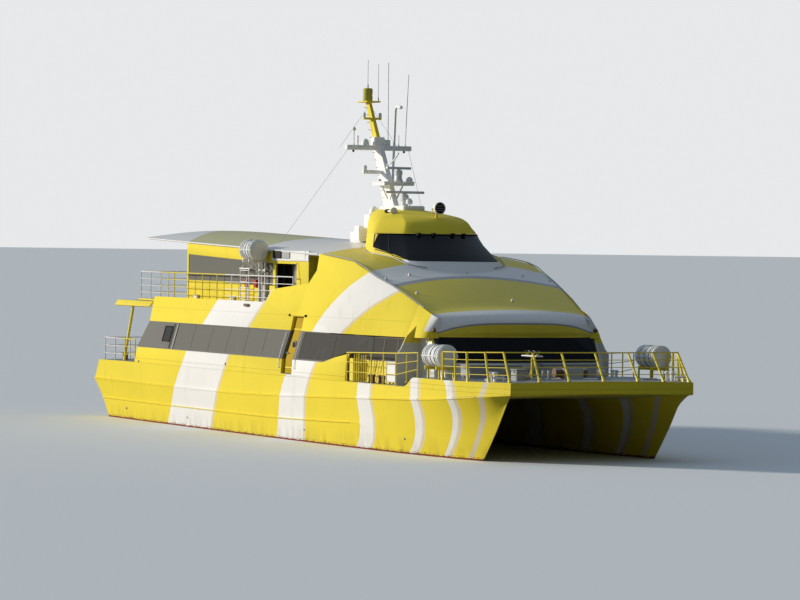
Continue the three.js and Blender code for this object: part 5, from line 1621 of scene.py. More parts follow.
class FERRY_OT_wheelhouse(bpy.types.Operator):
    """The wheelhouse, its wrap-round windows with their bars and wipers, and the gear on its roof"""

    bl_idname = "ferry.wheelhouse"
    bl_label = "Wheelhouse"

    def loft(self, levels, inset):
        shape = Shape()
        shape.rings([bridge_ring(z, inset) for z in levels])
        return shape

    def execute(self, context):
        wide = spaced(6.9, 8.9, 0.13)
        inner = self.loft(wide, 0.08)
        band = prism_shape(BRIDGE_BAND, "y", -4, 4)
        data = carved(self.loft(spaced(7.0, 8.718, 0.13), 0), [inner, band])
        walls = finishes("wheelhouse_paint", "lining")
        finished(data, "wheelhouse", walls, self.facing, "yellow_paint", angle=30)
        data = carved(self.loft(wide, 0.022), [self.loft(spaced(6.8, 9.0, 0.13), 0.05)], [band])
        finished(
            data, "wheelhouse_glass", finishes("dark_glass"), None, "window_glass", "wheelhouse_glazing", 30
        )
        levels = spaced(8.722, 9.12, 0.13)[:-1] + spaced(9.12, 9.7, 0.07)
        data = carved(self.loft(levels, 0), [self.loft(spaced(8.6, 9.5, 0.1), 0.08)])
        finished(data, "wheelhouse_roof", walls, self.facing, "yellow_paint", angle=30)
        self.bars()
        self.roof_gear()
        return {"FINISHED"}

    def facing(self, c, normal):
        ring = bridge_ring(min(9.6, max(7.0, c.z)), 0.04)
        if c.z > 9.46:
            return 0 if normal.z > 0 else 1
        inside = 0
        for (x0, y0, _), (x1, y1, _) in zip(ring, ring[1:] + ring[:1]):
            if (y0 > c.y) != (y1 > c.y) and c.x < x0 + (c.y - y0) / (y1 - y0) * (x1 - x0):
                inside ^= 1
        return inside

    def bars(self):
        """Window bars along the lofted surface, the head and sill trims, and the wipers."""
        frames, levels = Shape(), spaced(7.575, 8.685, 0.14)
        for index in (12, 17):
            for side in (1, -1):
                outer = []
                for z in levels:
                    ring, deep = bridge_ring(z, -0.004), bridge_ring(z, 0.05)
                    a, b = ring[index], deep[index]
                    if z < self.sill(a[0]) - 0.03:
                        continue
                    n = ring[index + 1]
                    t = Vector((n[0] - a[0], n[1] - a[1])).normalized() * 0.028
                    outer.append([
                        (b[0] - t.x, side * (b[1] - t.y), z), (b[0] + t.x, side * (b[1] + t.y), z),
                        (a[0] + t.x, side * (a[1] + t.y), z), (a[0] - t.x, side * (a[1] - t.y), z),
                    ])
                if len(outer) > 1:
                    frames.rings(outer)
        head = [p for p in bridge_ring(8.672, -0.006) if p[0] > 4.4]
        head.sort(key=lambda p: p[1])
        frames.tube(head, 0.020, 6)
        for side in (1, -1):
            sill = []
            for p in bridge_half(fair(BRIDGE, [7.6])[0]):
                x = p.x
                if x < 4.7:
                    continue
                z = self.sill(x)
                near = min(
                    bridge_ring(z, -0.006),
                    key=lambda q: abs(q[0] - x) + abs(q[1] - p.y * 0.97) if q[1] >= 0 else 99
                )
                sill.append((near[0], side * near[1], z - 0.01))
            frames.tube(thinned(sill, 0.05), 0.018, 6)
        piece("wheelhouse_window_bars", frames, finishes("dark"), "grey_paint")
        wipers = Shape()
        for index, side in ((4, -1), (2, -1), (1, 1), (3, 1)):
            top = Vector(bridge_ring(8.66, -0.05)[index])
            top.y *= side
            wipers.box((-0.11, -0.07, -0.06), (0.07, 0.07, 0.07), 0.02, place=Matrix.Translation(top))
            wipers.tube([top + Vector((0.0, 0.0, -0.05)), top + Vector((0.09, 0.03, -0.17))], 0.012, 6)
        piece("wheelhouse_wipers", wipers, finishes("dark"), "grey_paint")

    def sill(self, x):
        return 7.59 if x > 7.02 else lerp(8.11, 7.59, (x - 4.56) / 2.46)

    def roof_gear(self):
        """The pipe round the foot, the grab rails, the horn and the lamps on the roof."""
        trim = Shape()
        for side in (1, -1):
            path = []
            for p in bridge_half(fair(BRIDGE, [7.35])[0])[4:26]:
                f = fair(FOREHEAD, [max(2.6, min(11.4, p.x))])[0]
                s = p.y / (f[1] - 0.08)
                z = f[2] + f[3] * (1 - s * s)
                path.append((p.x + 0.06, side * (p.y + 0.05), z + 0.04))
            trim.tube(thinned(path, 0.08), 0.022, 8)
        piece("wheelhouse_foot_pipe", trim, finishes("pale_grey"), "grey_paint")
        grab = Shape()
        for side in (1, -1):
            plan = [(lerp(1.6, 4.9, i / 6), side * lerp(1.45, 1.55, i / 6)) for i in range(7)]
            line = [(x, y, self.roof_z(x, y) + 0.11) for x, y in plan]
            grab.tube(line, 0.02, 8)
            for x, y, z in line[::2]:
                grab.tube([(x, y, z), (x, y, z - 0.13)], 0.012, 6)
        piece("wheelhouse_grab_rails", grab, finishes("yellow_rail"), "yellow_paint")
        horn = Shape()
        horn.turned(
            (3.2, -1.2, 9.62), (3.75, -1.2, 9.62),
            ((0, 0.05), (0.35, 0.045), (0.7, 0.07), (0.9, 0.12), (1, 0.16)), 20
        )
        horn.turned((3.0, -1.2, 9.62), (3.2, -1.2, 9.62), ((0, 0.08), (1, 0.09)), 16, finish=1)
        horn.tube([(3.1, -1.2, 9.62), (3.1, -1.2, 9.3)], 0.03, 8, finish=1)
        piece("horn", horn, finishes("white", "dark"), "white_paint")
        lamps = Shape()
        for x, y in ((5.4, 1.2), (5.3, -1.25)):
            z = self.roof_z(x, y)
            lamps.turned(
                (x, y, z - 0.05), (x, y, z + 0.16),
                ((0, 0.05), (0.5, 0.05), (0.55, 0.08), (0.9, 0.08), (1, 0.05)), 16
            )
        piece("wheelhouse_lamps", lamps, finishes("white"), "white_paint")

    def roof_z(self, x, y):
        """Height of the wheelhouse roof over a place."""
        for z in spaced(9.69, 8.75, 0.04):
            row = fair(BRIDGE, [z])[0]
            half = bridge_half(row)
            for a, b in zip(half, half[1:]):
                if min(a.x, b.x) <= x <= max(a.x, b.x) and abs(a.x - b.x) > 1e-4:
                    yy = lerp(a.y, b.y, (x - a.x) / (b.x - a.x))
                    if yy >= abs(y) and a.x > row[8] + 0.05:
                        return z
        return 8.75


def mast_x(z):
    return MAST_FOOT[0] - MAST_RAKE * (z - MAST_FOOT[1])


def column(shape, sections, finish=0):
    """A mast length through rounded sections (z, half along, half across)."""
    rings = []
    for z, along, across in sections:
        ring = []
        for turn, (sx, sy) in enumerate(((1, 1), (-1, 1), (-1, -1), (1, -1))):
            for k in range(5):
                a = 90 * turn + k * 22.5
                r = min(along, across) * 0.38
                ring.append((
                    mast_x(z) + sx * (along - r) + r * math.cos(math.radians(a)),
                    sy * (across - r) + r * math.sin(math.radians(a)), z,
                ))
        rings.append(ring)
    shape.rings(rings, finish)


class FERRY_OT_mast(bpy.types.Operator):
    """The raked mast with its platforms, crossbeams, lamps, aerials and stays"""

    bl_idname = "ferry.mast"
    bl_label = "Mast"

    def execute(self, context):
        low = Shape()
        column(low, ((9.6, 0.52, 0.13), (9.8, 0.52, 0.13), (11.0, 0.44, 0.115), (12.478, 0.34, 0.10)))
        rim = [(0.06, -0.42), (1.25, -0.7), (1.78, -0.7), (1.78, 0.7), (1.25, 0.7), (0.06, 0.42)]
        low.prism(rim, "z", 10.72, 10.86)
        low.tube([(x, y, 10.86) for x, y in rim], 0.03, 8, closed=True)
        for y in (-0.5, 0.5):
            low.tube([(mast_x(10.1) + 0.2, y * 0.4, 10.15), (1.1, y, 10.72)], 0.035, 8)
        x = mast_x(12.3)
        low.box((x - 0.19, -1.53, 12.23), (x + 0.09, 1.53, 12.44), 0.03)
        x = mast_x(11.28)
        low.box((x - 0.09, -1.0, 11.21), (x + 0.09, 0.0, 11.37), 0.02)
        low.box((0.95, -0.5, 9.55), (3.25, 0.5, 9.86), 0.05)
        low.box((-0.62, -0.95, 8.35), (-0.1, -0.35, 9.0), 0.03)
        low.box((0.0, -0.8, 8.9), (0.62, -0.3, 9.5), 0.04)
        piece("mast_lower_skin", low, finishes("mast_white"), "white_paint", replaced=("mast_lower",))
        up = Shape()
        column(up, ((12.482, 0.24, 0.09), (14.31, 0.17, 0.07)))
        x = mast_x(13.6)
        up.box((x - 0.09, -0.42, 13.56), (x + 0.09, 0.42, 13.65), 0.02)
        x = mast_x(14.3)
        up.box((x - 0.43, -0.33, 14.3), (x + 0.52, 0.33, 14.36), 0.015, finish=0)
        up.turned(
            (x - 0.1, 0, 14.33), (x - 0.1, 0, 14.92),
            (
                (0, 0.2), (0.06, 0.21), (0.45, 0.21), (0.47, 0.195), (0.53, 0.195), (0.55, 0.21),
                (0.92, 0.21), (1, 0.17)
            ),
            24, finish=1
        )
        piece("mast_upper_skin", up, finishes("yellow", "olive"), "yellow_paint", replaced=("mast_upper",))
        self.gear()
        self.aerials()
        return {"FINISHED"}

    def gear(self):
        gear = Shape()
        x = mast_x(12.5)
        gear.box((x - 0.06, -0.3, 12.42), (x + 0.3, 0.2, 12.8), 0.03)
        gear.box((x - 0.3, 0.3, 12.42), (x + 0.0, 0.62, 12.7), 0.03)
        for px, py, z, r in (
            (mast_x(12.3) - 0.05, -0.62, 12.43, 0.17), (0.45, -0.52, 9.5, 0.2), (1.62, 0.55, 10.86, 0.14),
            (0.8, -0.45, 10.86, 0.09), (2.85, -0.05, 9.94, 0.14)
        ):
            gear.turned(
                (px, py, z - 0.02), (px, py, z + r * 1.75),
                ((0, r * 0.6), (0.12, r), (0.5, r), (0.72, r * 0.85), (0.9, r * 0.5), (1, r * 0.1)), 22
            )
        gear.tube(
            [(0.4, 0.36, 10.85), (0.4, 0.45, 13.95), (0.46, 0.45, 14.06), (0.62, 0.45, 14.1)], 0.052, 10
        )
        gear.turned(
            (0.6, 0.45, 14.1), (1.0, 0.45, 14.04), ((0, 0.05), (0.3, 0.085), (0.85, 0.075), (1, 0.03)), 14
        )
        brace = [(0.62 + 1.0 * t, 0.02, 11.64 + 0.45 * t ** 1.8) for t in (0, 0.2, 0.4, 0.6, 0.8, 1)]
        gear.tube(brace, 0.035, 8)
        gear.tube([(0.5, 0.02, 11.1), (0.62, 0.02, 11.64)], 0.03, 8)
        gear.box((mast_x(12.3) - 0.1, -1.0, 12.43), (mast_x(12.3) - 0.04, -0.94, 12.85), 0.01)
        x = mast_x(11.28)
        gear.tube([(2.85, -0.05, 9.8), (2.85, -0.05, 9.98)], 0.04, 8)
        gear.turned((x, -0.9, 11.36), (x, -0.9, 11.58), ((0, 0.05), (0.15, 0.09), (0.8, 0.09), (1, 0.03)), 16)
        for y in (-0.38, 0.38):
            gear.turned(
                (mast_x(13.6), y, 13.64), (mast_x(13.6), y, 13.86),
                ((0, 0.04), (0.15, 0.07), (0.8, 0.07), (1, 0.04)), 14
            )
        piece("mast_gear", gear, finishes("mast_white"), "white_paint")
        dark = Shape()
        for z in spaced(10.2, 14.1, 0.33):
            side = mast_x(z) - lerp(0.3, 0.14, (z - 10) / 4.2)
            dark.tube(
                [(side, -0.16, z), (side - 0.09, -0.15, z), (side - 0.09, 0.15, z), (side, 0.16, z)], 0.011, 6
            )
        for y in (-1.2, 1.2):
            dark.turned(
                (mast_x(12.3), y, 12.24), (mast_x(12.3), y, 12.14), ((0, 0.04), (0.5, 0.05), (1, 0.04)), 12
            )
        piece("mast_steps_and_lamps", dark, finishes("dark"), "grey_paint")

    def aerials(self):
        rods, x, top = Shape(), mast_x(12.3), mast_x(14.3)
        lines = (
            ((x, -1.18, 12.3), (x, -1.18, 13.05), 0.018),
            ((x, 1.25, 12.3), (x + 0.1, 1.33, 15.5), 0.016),
            ((x - 0.02, 0.45, 12.3), (x - 0.02, 0.42, 16.0), 0.016),
            ((top - 0.1, 0.0, 14.9), (top - 0.1, 0.0, 16.14), 0.013),
            ((top + 0.42, 0.25, 14.33), (top + 0.42, 0.25, 15.95), 0.013),
            ((x, 0.95, 12.3), (x, 0.95, 12.9), 0.014),
        )
        for a, b, r in lines:
            rods.tube([a, b], r, 8)
            a = Vector(a)
            rods.turned(a, a + Vector((0, 0, 0.22)), ((0, 0.035), (0.7, 0.035), (1, r)), 12)
        rods.turned((x, -1.18, 13.05), (x, -1.18, 13.22), ((0, 0.05), (0.5, 0.09), (1, 0.02)), 12)
        piece("aerials", rods, finishes("white"), "white_paint")
        stays = Shape()
        for s in (-1, 1):
            stays.tube([(x - 0.05, s * 1.45, 12.24), (-2.4, s * 3.6, 8.2)], 0.007, 5)
        for s in (-1, 1):
            stays.tube([(mast_x(14.1), 0, 14.2), (mast_x(14.1), s * 1.4, 12.35)], 0.006, 5)
        piece("mast_stays", stays, finishes("steel"), "bare_metal")


RADARS = (("upper", 1.48, 0.1, 10.89, 0.48, 1.25, 1.75), ("lower", 2.3, 0.0, 9.7, 0.64, 1.8, 1.57))


class FERRY_OT_radars(bpy.types.Operator):
    """The two turning radar scanners, their pedestals, and the searchlight"""

    bl_idname = "ferry.radars"
    bl_label = "Radars and searchlight"

    def execute(self, context):
        for name, x, y, foot, h, length, turn in RADARS:
            base = Shape()
            base.turned(
                (x, y, foot), (x, y, foot + h - 0.003),
                ((0, 0.19), (0.12, 0.19), (0.16, 0.16), (0.55, 0.14), (0.6, 0.17), (0.95, 0.17), (1, 0.13)),
                28
            )
            for k in range(8):
                a = math.tau * k / 8
                px, py = x + 0.175 * math.cos(a), y + 0.175 * math.sin(a)
                base.turned((px, py, foot), (px, py, foot + 0.07), ((0, 0.012), (1, 0.012)), 6)
            piece(
                "radar_%s_pedestal_skin" % name, base, finishes("radar"), "radar_shell",
                replaced=("radar_%s_pedestal" % name,)
            )
            bar = Shape()
            middle = Vector((x, y, foot + h + 0.09))
            place = Matrix.Translation(middle) @ Matrix.Rotation(turn, 4, "Z")
            ring = [
                (0.072, -0.045), (0.072, 0.03), (0.05, 0.052), (-0.05, 0.052), (-0.072, 0.03),
                (-0.072, -0.045), (-0.05, -0.055), (0.05, -0.055)
            ]
            half = length / 2
            ends = ((-1, 0.75), (-0.985, 1), (0.985, 1), (1, 0.75))
            bar.rings([[place @ Vector((s * half, a * k, b * k)) for a, b in ring] for s, k in ends])
            bar.turned(
                place @ Vector((0, 0, -0.088)), place @ Vector((0, 0, -0.03)), ((0, 0.10), (1, 0.09)), 20
            )
            bar.box((-half * 0.96, 0.068, -0.025), (half * 0.96, 0.075, 0.025), 0.002, finish=1, place=place)
            piece(
                "radar_%s_scanner_skin" % name, bar, finishes("radar", "dark"), "radar_shell",
                body="radar_%s_scanner" % name, replaced=("radar_%s_scanner" % name,)
            )
        light = Shape()
        light.turned((5.3, 0, 9.3), (5.3, 0, 9.55), ((0, 0.10), (0.2, 0.10), (0.3, 0.05), (1, 0.045)), 16)
        light.tube(
            [(5.4, -0.255, 9.76), (5.4, -0.255, 9.55), (5.4, 0.255, 9.55), (5.4, 0.255, 9.76)], 0.02, 8
        )
        light.turned(
            (5.2, 0, 9.76), (5.63, 0, 9.76),
            ((0, 0.10), (0.1, 0.17), (0.35, 0.225), (0.92, 0.25), (0.93, 0.258), (1, 0.255)), 30, finish=1
        )
        light.turned((5.60, 0, 9.76), (5.636, 0, 9.76), ((0, 0.225), (1, 0.22)), 30, finish=2)
        for z in (-0.1, 0.0, 0.1):
            light.box((5.63, -0.2, 9.755 + z), (5.645, 0.2, 9.765 + z), 0.002, finish=1)
        piece(
            "searchlight_skin", light, finishes("yellow", "white", "dark"), "white_paint",
            replaced=("searchlight",)
        )
        return {"FINISHED"}


def rail(name, feet, tops, counts, bars, looks, replaced=(), slot="yellow_paint", post=0.025, gusset=False):
    """Guard rails: bars at shares of the height, posts by count on each length, flanged feet."""
    sizes = bpy.context.scene.ferry_sizes
    shape = Shape()
    feet, tops = [Vector(p) for p in feet], [Vector(p) for p in tops]
    for share in bars:
        path = [a.lerp(b, share) for a, b in zip(feet, tops)]
        top = share == bars[-1]
        shape.tube(path, sizes.rail_radius if top else sizes.bar_radius, 8, finish=0)
    for i, count in enumerate(counts):
        last = i == len(counts) - 1
        for k in range(count + last):
            t = k / count
            a, b = feet[i].lerp(feet[i + 1], t), tops[i].lerp(tops[i + 1], t)
            shape.tube([a, b], post, 8, finish=1)
            shape.turned(a, a + Vector((0, 0, 0.022)), ((0, 0.07), (1, 0.065)), 12, finish=1)
            if gusset:
                shape.turned(a, a.lerp(b, 0.16), ((0, 0.085), (0.3, 0.075), (1, post)), 12, finish=1)
    return piece(name, shape, looks, slot, replaced=replaced)


class FERRY_OT_rails(bpy.types.Operator):
    """All the guard rails"""

    bl_idname = "ferry.rails"
    bl_label = "Rails"

    def execute(self, context):
        looks = finishes("yellow_rail", "yellow_rail")
        feet = [
            (16.45, 4.69, 3.04), (17.7, 4.46, 3.045), (19.42, 3.93, 3.075), (19.68, 1.5, 3.12),
            (19.68, -1.5, 3.12), (19.42, -3.93, 3.075), (17.2, -4.56, 3.045), (15.5, -4.78, 3.04),
        ]
        tops = [
            (16.45, 4.69, 4.15), (17.55, 4.46, 4.17), (18.66, 3.812, 4.22), (18.92, 1.455, 4.22),
            (18.92, -1.455, 4.22), (18.66, -3.812, 4.22), (17.05, -4.56, 4.17), (15.5, -4.78, 4.15),
        ]
        rail(
            "bow_rail_skin", feet, tops, (2, 2, 2, 2, 2, 2, 2), (0.26, 0.5, 0.75, 1), looks, ("bow_rail",),
            post=0.046, gusset=True
        )
        for label, s in SIDES:
            feet = [(7.15, s * 4.9, 2.66), (11.6, s * 4.88, 2.66), (13.45, s * 4.85, 3.04)]
            tops = [(7.15, s * 4.9, 3.84), (11.6, s * 4.88, 3.96), (13.45, s * 4.85, 4.04)]
            rail(
                "side_rail_%s_skin" % label, feet, tops, (4, 2), (0.35, 0.68, 1), looks,
                ("side_rail_" + label,)
            )
            feet = [(-15.42, s * 4.86, 2.64), (-19.25, s * 4.78, 2.62), (-19.33, s * 1.0, 2.66)]
            tops = [(x, y, 3.68) for x, y, _ in feet]
            white = finishes("stern_rail_paint", "stern_rail_paint")
            rail(
                "stern_rail_%s_skin" % label, feet, tops, (3, 3), (0.33, 0.66, 1), white,
                ("stern_rail_" + label,)
            )
        feet = [
            (0.2, 4.15), (-14.2, 4.15), (-16.6, 4.12), (-16.6, 0), (-16.6, -4.12), (-14.2, -4.15),
            (0.2, -4.15)
        ]
        tops = [(x, y, 6.79) for x, y in feet]
        feet = [(x, y, UPPER_DECK) for x, y in feet]
        mixed = finishes("upper_rail_paint", "upper_rail_paint")
        rail("upper_rail_skin", feet, tops, (9, 2, 3, 3, 2, 9), (0.25, 0.5, 0.75, 1), mixed, ("upper_rail",))
        return {"FINISHED"}


# name, x, y, z, length
RAFTS = (
    ("fore_starboard", 14.65, -4.5, 3.96, 1.5), ("fore_port", 15.6, 4.5, 3.96, 1.5),
    ("upper_starboard", -3.27, -4.43, 7.9, 1.25), ("upper_port", -3.27, 4.43, 7.9, 1.25),
)


class FERRY_OT_rafts(bpy.types.Operator):
    """Liferaft canisters with their ribs, seam, straps and cradles"""

    bl_idname = "ferry.rafts"
    bl_label = "Liferafts"

    def execute(self, context):
        for name, x, y, z, length in RAFTS:
            self.canister(name, x, y, z, length)
            skin(
                "cradle_" + name, finishes("white" if "upper" in name else "yellow_rail"), None,
                "white_paint", edge=0.006
            )
        for label, s in SIDES:
            rung = Shape()
            rung.tube([(-0.45, 0, 0), (0.45, 0, 0)], 0.018, 8)
            path = [(-4.97, s * 4.08, 5.75), (-4.97, s * 4.08, 7.0)]
            repeated("ladder_rungs_" + label, path, 0.25, rung, finish("white"), "white_paint")
            stiles = Shape()
            for x in (-5.42, -4.52):
                stiles.tube([(x, s * 4.08, 5.52), (x, s * 4.08, 7.05), (x, s * 3.93, 7.2)], 0.03, 8)
            stiles.tube([(-5.5, s * 4.08, 7.08), (-4.44, s * 4.08, 7.08)], 0.035, 8)
            piece("ladder_stiles_" + label, stiles, finishes("white"), "white_paint")
        return {"FINISHED"}

    def canister(self, name, x, y, z, length):
        shell, half = Shape(), length / 2
        steps = [(-1.0, 0.0), (-1.0, 0.28), (-0.97, 0.385), (-0.93, 0.42)]
        for rib in (-0.84, -0.62, -0.40, 0.40, 0.62, 0.84):
            steps += [
                (rib - 0.055, RAFT_RADIUS), (rib - 0.04, RAFT_RIB_RADIUS), (rib + 0.04, RAFT_RIB_RADIUS),
                (rib + 0.055, RAFT_RADIUS)
            ]
        steps += [(0.93, 0.42), (0.97, 0.385), (1.0, 0.28), (1.0, 0.0)]
        shell.turned((x - half, y, z), (x + half, y, z), [((s + 1) / 2, r) for s, r in steps], 40)
        shell.box(
            (x - half * 0.97, y - RAFT_RIB_RADIUS, z - 0.022),
            (x + half * 0.97, y + RAFT_RIB_RADIUS, z + 0.022), 0.008, finish=0
        )
        for s in (-0.51, 0.0, 0.51):
            shell.turned(
                (x + s * half - 0.028, y, z), (x + s * half + 0.028, y, z),
                ((0, 0.424), (0.1, 0.430), (0.9, 0.430), (1, 0.424)), 40, finish=1
            )
            side = -1 if y < 0 else 1
            shell.box(
                (x + s * half - 0.045, y + side * 0.42 - 0.02, z + 0.02),
                (x + s * half + 0.045, y + side * 0.42 + 0.022, z + 0.12), 0.006, finish=2
            )
        # grey end discs: painted shade of the canister ends
        for end in (-1, 1):
            shell.turned(
                (x + end * half * 0.985, y, z), (x + end * (half - 0.001), y, z), ((0, 0.30), (1, 0.27)), 32,
                finish=3
            )
        piece(
            "raft_%s_skin" % name, shell, finishes("raft_shell", "webbing", "steel", "raft_end_painted_shade"),
            "raft_shell", replaced=("raft_" + name,)
        )


class FERRY_OT_deckgear(bpy.types.Operator):
    """Windlass, bitts, cleats, lamps, boxes and other gear on the decks"""

    bl_idname = "ferry.deckgear"
    bl_label = "Deck gear"

    def execute(self, context):
        drum = lambda c, normal: 1 if c.z > 3.15 and 0.42 < abs(c.y) < 0.95 else 0
        skin("windlass", finishes("pale_grey", "brown"), drum, "grey_paint", edge=0.012)
        skin("roof_unit", finishes("white"), None, "white_paint", edge=0.02)
        self.bow()
        self.quarter()
        self.house()
        return {"FINISHED"}

    def bitts(self, shape, x, y, z, size):
        shape.box((x - 0.3 * size, y - 0.12 * size, z), (x + 0.3 * size, y + 0.12 * size, z + 0.02), 0.004)
        head = [(t, r * size) for t, r in ((0, 0.07), (0.75, 0.07), (0.8, 0.1), (0.95, 0.1), (1, 0.07))]
        for dx in (-0.18, 0.18):
            shape.turned((x + dx * size, y, z), (x + dx * size, y, z + 0.34 * size), head, 18)

    def bow(self):
        gear = Shape()
        for y in (-3.9, 3.9):
            self.bitts(gear, 17.95, y, 3.07, 1.15)
            self.bitts(gear, 13.7, y * 0.98, 3.06, 0.9)
        for y in (-4.1, 4.1):
            legs = ((-0.25, 3.12), (-0.25, 3.26), (0.25, 3.26), (0.25, 3.12))
            gear.tube([(18.6, y * 0.98 + dy, z) for dy, z in legs], 0.035, 10)
        piece("bow_bitts", gear, finishes("white"), "white_paint")
        post = Shape()
        px, py = 15.9, -1.1
        post.tube([(px, py, 3.08), (px, py, 3.98)], 0.045, 10)
        post.box((px - 0.6, py - 0.16, 3.97), (px + 0.6, py + 0.16, 4.02), 0.01, finish=1)
        post.tube([(px, py, 3.5), (px - 0.3, py, 3.08)], 0.025, 8)
        heads = (
            (-0.5, 0.08, 0.05), (-0.3, -0.1, 0.06), (-0.1, 0.1, 0.055), (0.12, -0.08, 0.06),
            (0.32, 0.08, 0.05), (0.5, -0.06, 0.06)
        )
        for k, (dx, dy, r) in enumerate(heads):
            x, y = px + dx, py + dy
            post.turned((x, y, 4.02), (x, y, 4.1), ((0, 0.018), (1, 0.018)), 8)
            lens = ((0, r * 0.6), (0.3, r), (0.95, r * 1.1), (1, r))
            post.turned((x - 0.06, y, 4.15), (x + 0.07, y, 4.14), lens, 14, finish=1 + k % 2)
        piece("bow_lamp_post", post, finishes("yellow_rail", "white", "dark"), "yellow_paint")
        boxes = Shape()
        z = 3.08
        for x, y, w, d, h in (
            (14.4, -2.1, 0.8, 2.3, 0.48), (14.5, 1.2, 0.9, 2.2, 0.52), (17.6, -2.6, 0.5, 0.4, 0.42)
        ):
            x0, x1, y0, y1, lid = x - w / 2, x + w / 2, y - d / 2, y + d / 2, z + h
            boxes.box((x0, y0, z), (x1, y1, lid), 0.02)
            boxes.box((x0 - 0.02, y0 - 0.02, lid), (x1 + 0.02, y1 + 0.02, lid + 0.05), 0.015)
            boxes.box((x - 0.05, y0 - 0.03, lid - 0.1), (x + 0.05, y0, lid - 0.02), 0.006, finish=1)
        for x, y in ((17.9, 0.9), (14.2, -0.2)):
            boxes.turned(
                (x, y, 3.08), (x, y, 3.5), ((0, 0.10), (0.5, 0.10), (0.55, 0.17), (0.9, 0.17), (1, 0.1)), 22
            )
        piece("foredeck_boxes", boxes, finishes("pale_grey", "steel"), "grey_paint")
        hatch = Shape()
        for y in (-3.3, 3.3):
            hatch.box((16.8, y - 0.35, 3.06), (17.5, y + 0.35, 3.16), 0.02)
            for dy in (-0.25, 0.25):
                hatch.turned((17.45, y + dy, 3.15), (17.45, y + dy, 3.19), ((0, 0.04), (1, 0.03)), 10)
        piece("foredeck_hatches", hatch, finishes("pale_grey"), "grey_paint")
        rope = Shape()
        for k in range(4):
            r = 0.34 - 0.05 * (k % 2)
            turn = [math.tau * i / 18 for i in range(18)]
            loop = [(16.95 + r * math.cos(a), -2.1 + r * math.sin(a), 3.115 + 0.038 * k) for a in turn]
            rope.tube(loop, 0.021, 6, closed=True)
        piece("coiled_rope", rope, finishes("rope"), "white_paint")

    def quarter(self):
        gear = Shape()
        for s in (-1, 1):
            self.bitts(gear, -18.2, s * 4.2, 2.68, 0.9)
            self.bitts(gear, -16.1, s * 4.35, 2.70, 0.8)
        piece("quarter_bitts", gear, finishes("brown"), "grey_paint")
        seats = Shape()
        for y in (-1.6, 1.6):
            seats.box((-17.4, y - 0.9, 2.72), (-16.9, y + 0.9, 3.12), 0.03)
            seats.box((-16.9, y - 0.9, 3.10), (-16.78, y + 0.9, 3.55), 0.03)
        piece("after_deck_lockers", seats, finishes("white"), "white_paint")
        for body in ("saloon_aft_door", "upper_aft_door"):
            pane = Shape()
            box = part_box(body)
            low, high = Vector(box[0]), Vector(box[1])
            cy, cz = (low.y + high.y) / 2, lerp(low.z, high.z, 0.68)
            pane.box((low.x - 0.006, cy - 0.24, cz - 0.3), (high.x + 0.006, cy + 0.24, cz + 0.3), 0.004)
            pane.box(
                (low.x - 0.012, high.y - 0.16, low.z + 0.95), (high.x + 0.012, high.y - 0.04, low.z + 1.0),
                0.004, finish=1
            )
            piece(body + "_port", pane, finishes("dark_glass", "steel"), "window_glass", body=body)

    def house(self):
        """Fittings along the upper deck: fascia over the doorway, vents, red gear, lamps and the stay."""
        for label, s in SIDES:
            place = mirror_matrix(s)
            board = Shape()
            board.box((-2.45, 3.86, 7.46), (1.25, 3.945, 7.72), 0.012, place=place)
            board.box((-2.45, 3.80, 7.70), (1.22, 3.915, 7.90), 0.012, place=place)
            board.box((-0.52, 3.92, 7.50), (0.95, 3.96, 7.88), 0.015, place=place)
            piece("upper_fascia_" + label, board, finishes("white"), "white_paint")
            vent = Shape()
            vent.box((-2.28, 3.86, 7.56), (-1.42, 4.0, 7.9), 0.02, place=place)
            piece("upper_vent_" + label, vent, finishes("dark"), "grey_paint")
            box = Shape()
            box.box((-1.36, 3.86, 7.56), (-0.58, 3.985, 7.88), 0.02, place=place)
            box.box((-3.66, 3.9, 5.6), (-2.86, 3.97, 6.4), 0.03, place=place)
            box.tube([(0.13, s * 3.95, 7.4), (0.17, s * 4.1, 6.8)], 0.02, 8)
            piece("upper_lockers_" + label, box, finishes("pale_grey"), "grey_paint")
            red = Shape()
            for x in (-5.05, -4.1):
                red.box((x - 0.14, 3.9, 6.28), (x + 0.14, 4.0, 6.62), 0.03, place=place)
            piece("red_gear_" + label, red, finishes("red"), "yellow_paint")
            fairlead = Shape()
            fairlead.box((-4.05, 4.475, 5.46), (-3.6, 4.54, 5.58), 0.015, place=place)
            piece("bulwark_fitting_" + label, fairlead, finishes("brown"), "grey_paint")
        lamp = Shape()
        for s in (-1, 1):
            for x in (-6.5, -10.5):
                lamp.box((x - 0.18, s * 3.96 - 0.07, 5.62), (x + 0.18, s * 3.96 + 0.07, 5.86), 0.03)
        piece("upper_deck_lamps", lamp, finishes("white"), "white_paint")


class FERRY_OT_jets(bpy.types.Operator):
    """Water jets: housings, steering nozzles and reversing buckets"""

    bl_idname = "ferry.jets"
    bl_label = "Water jets"

    def execute(self, context):
        for label, _ in SIDES:
            skin("jet_housing_" + label, finishes("steel"), None, "bare_metal", edge=0.01)
            for node in ("jet_nozzle_" + label, "jet_bucket_" + label):
                skin(node, finishes("steel"), None, "bare_metal", body=node, edge=0.006)
        return {"FINISHED"}


OPERATORS = (
    FERRY_OT_hulls, FERRY_OT_decks, FERRY_OT_saloon, FERRY_OT_front, FERRY_OT_upperworks,
    FERRY_OT_wheelhouse, FERRY_OT_mast, FERRY_OT_radars, FERRY_OT_rails, FERRY_OT_rafts,
    FERRY_OT_deckgear, FERRY_OT_jets, FERRY_OT_stage,
)


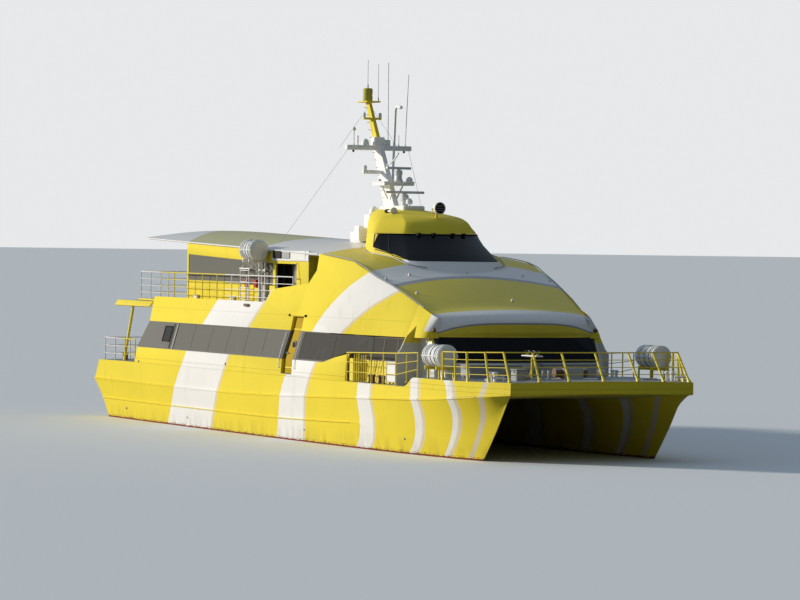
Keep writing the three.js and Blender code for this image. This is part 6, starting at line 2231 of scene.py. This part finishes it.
class FERRY_PT_panel(bpy.types.Panel):
    bl_idname = "FERRY_PT_panel"
    bl_label = "Passenger catamaran"
    bl_space_type = "VIEW_3D"
    bl_region_type = "UI"
    bl_category = "Ferry"

    def draw(self, context):
        for group in (context.scene.ferry_finish, context.scene.ferry_sizes):
            for key in group.bl_rna.properties.keys():
                if key not in ("rna_type", "name"):
                    self.layout.prop(group, key)
        for op in OPERATORS:
            self.layout.operator(op.bl_idname)


CLASSES = (FerryFinish, FerrySizes, *OPERATORS, FERRY_PT_panel)


def register():
    for c in CLASSES:
        bpy.utils.register_class(c)
    bpy.types.Scene.ferry_finish = bpy.props.PointerProperty(type=FerryFinish)
    bpy.types.Scene.ferry_sizes = bpy.props.PointerProperty(type=FerrySizes)


def unregister():
    del bpy.types.Scene.ferry_sizes
    del bpy.types.Scene.ferry_finish
    for c in reversed(CLASSES):
        bpy.utils.unregister_class(c)


def main():
    register()
    for op in OPERATORS:
        group, name = op.bl_idname.split(".")
        if getattr(getattr(bpy.ops, group), name)() != {"FINISHED"}:
            raise RuntimeError(op.bl_idname)


if __name__ == "__main__":
    main()
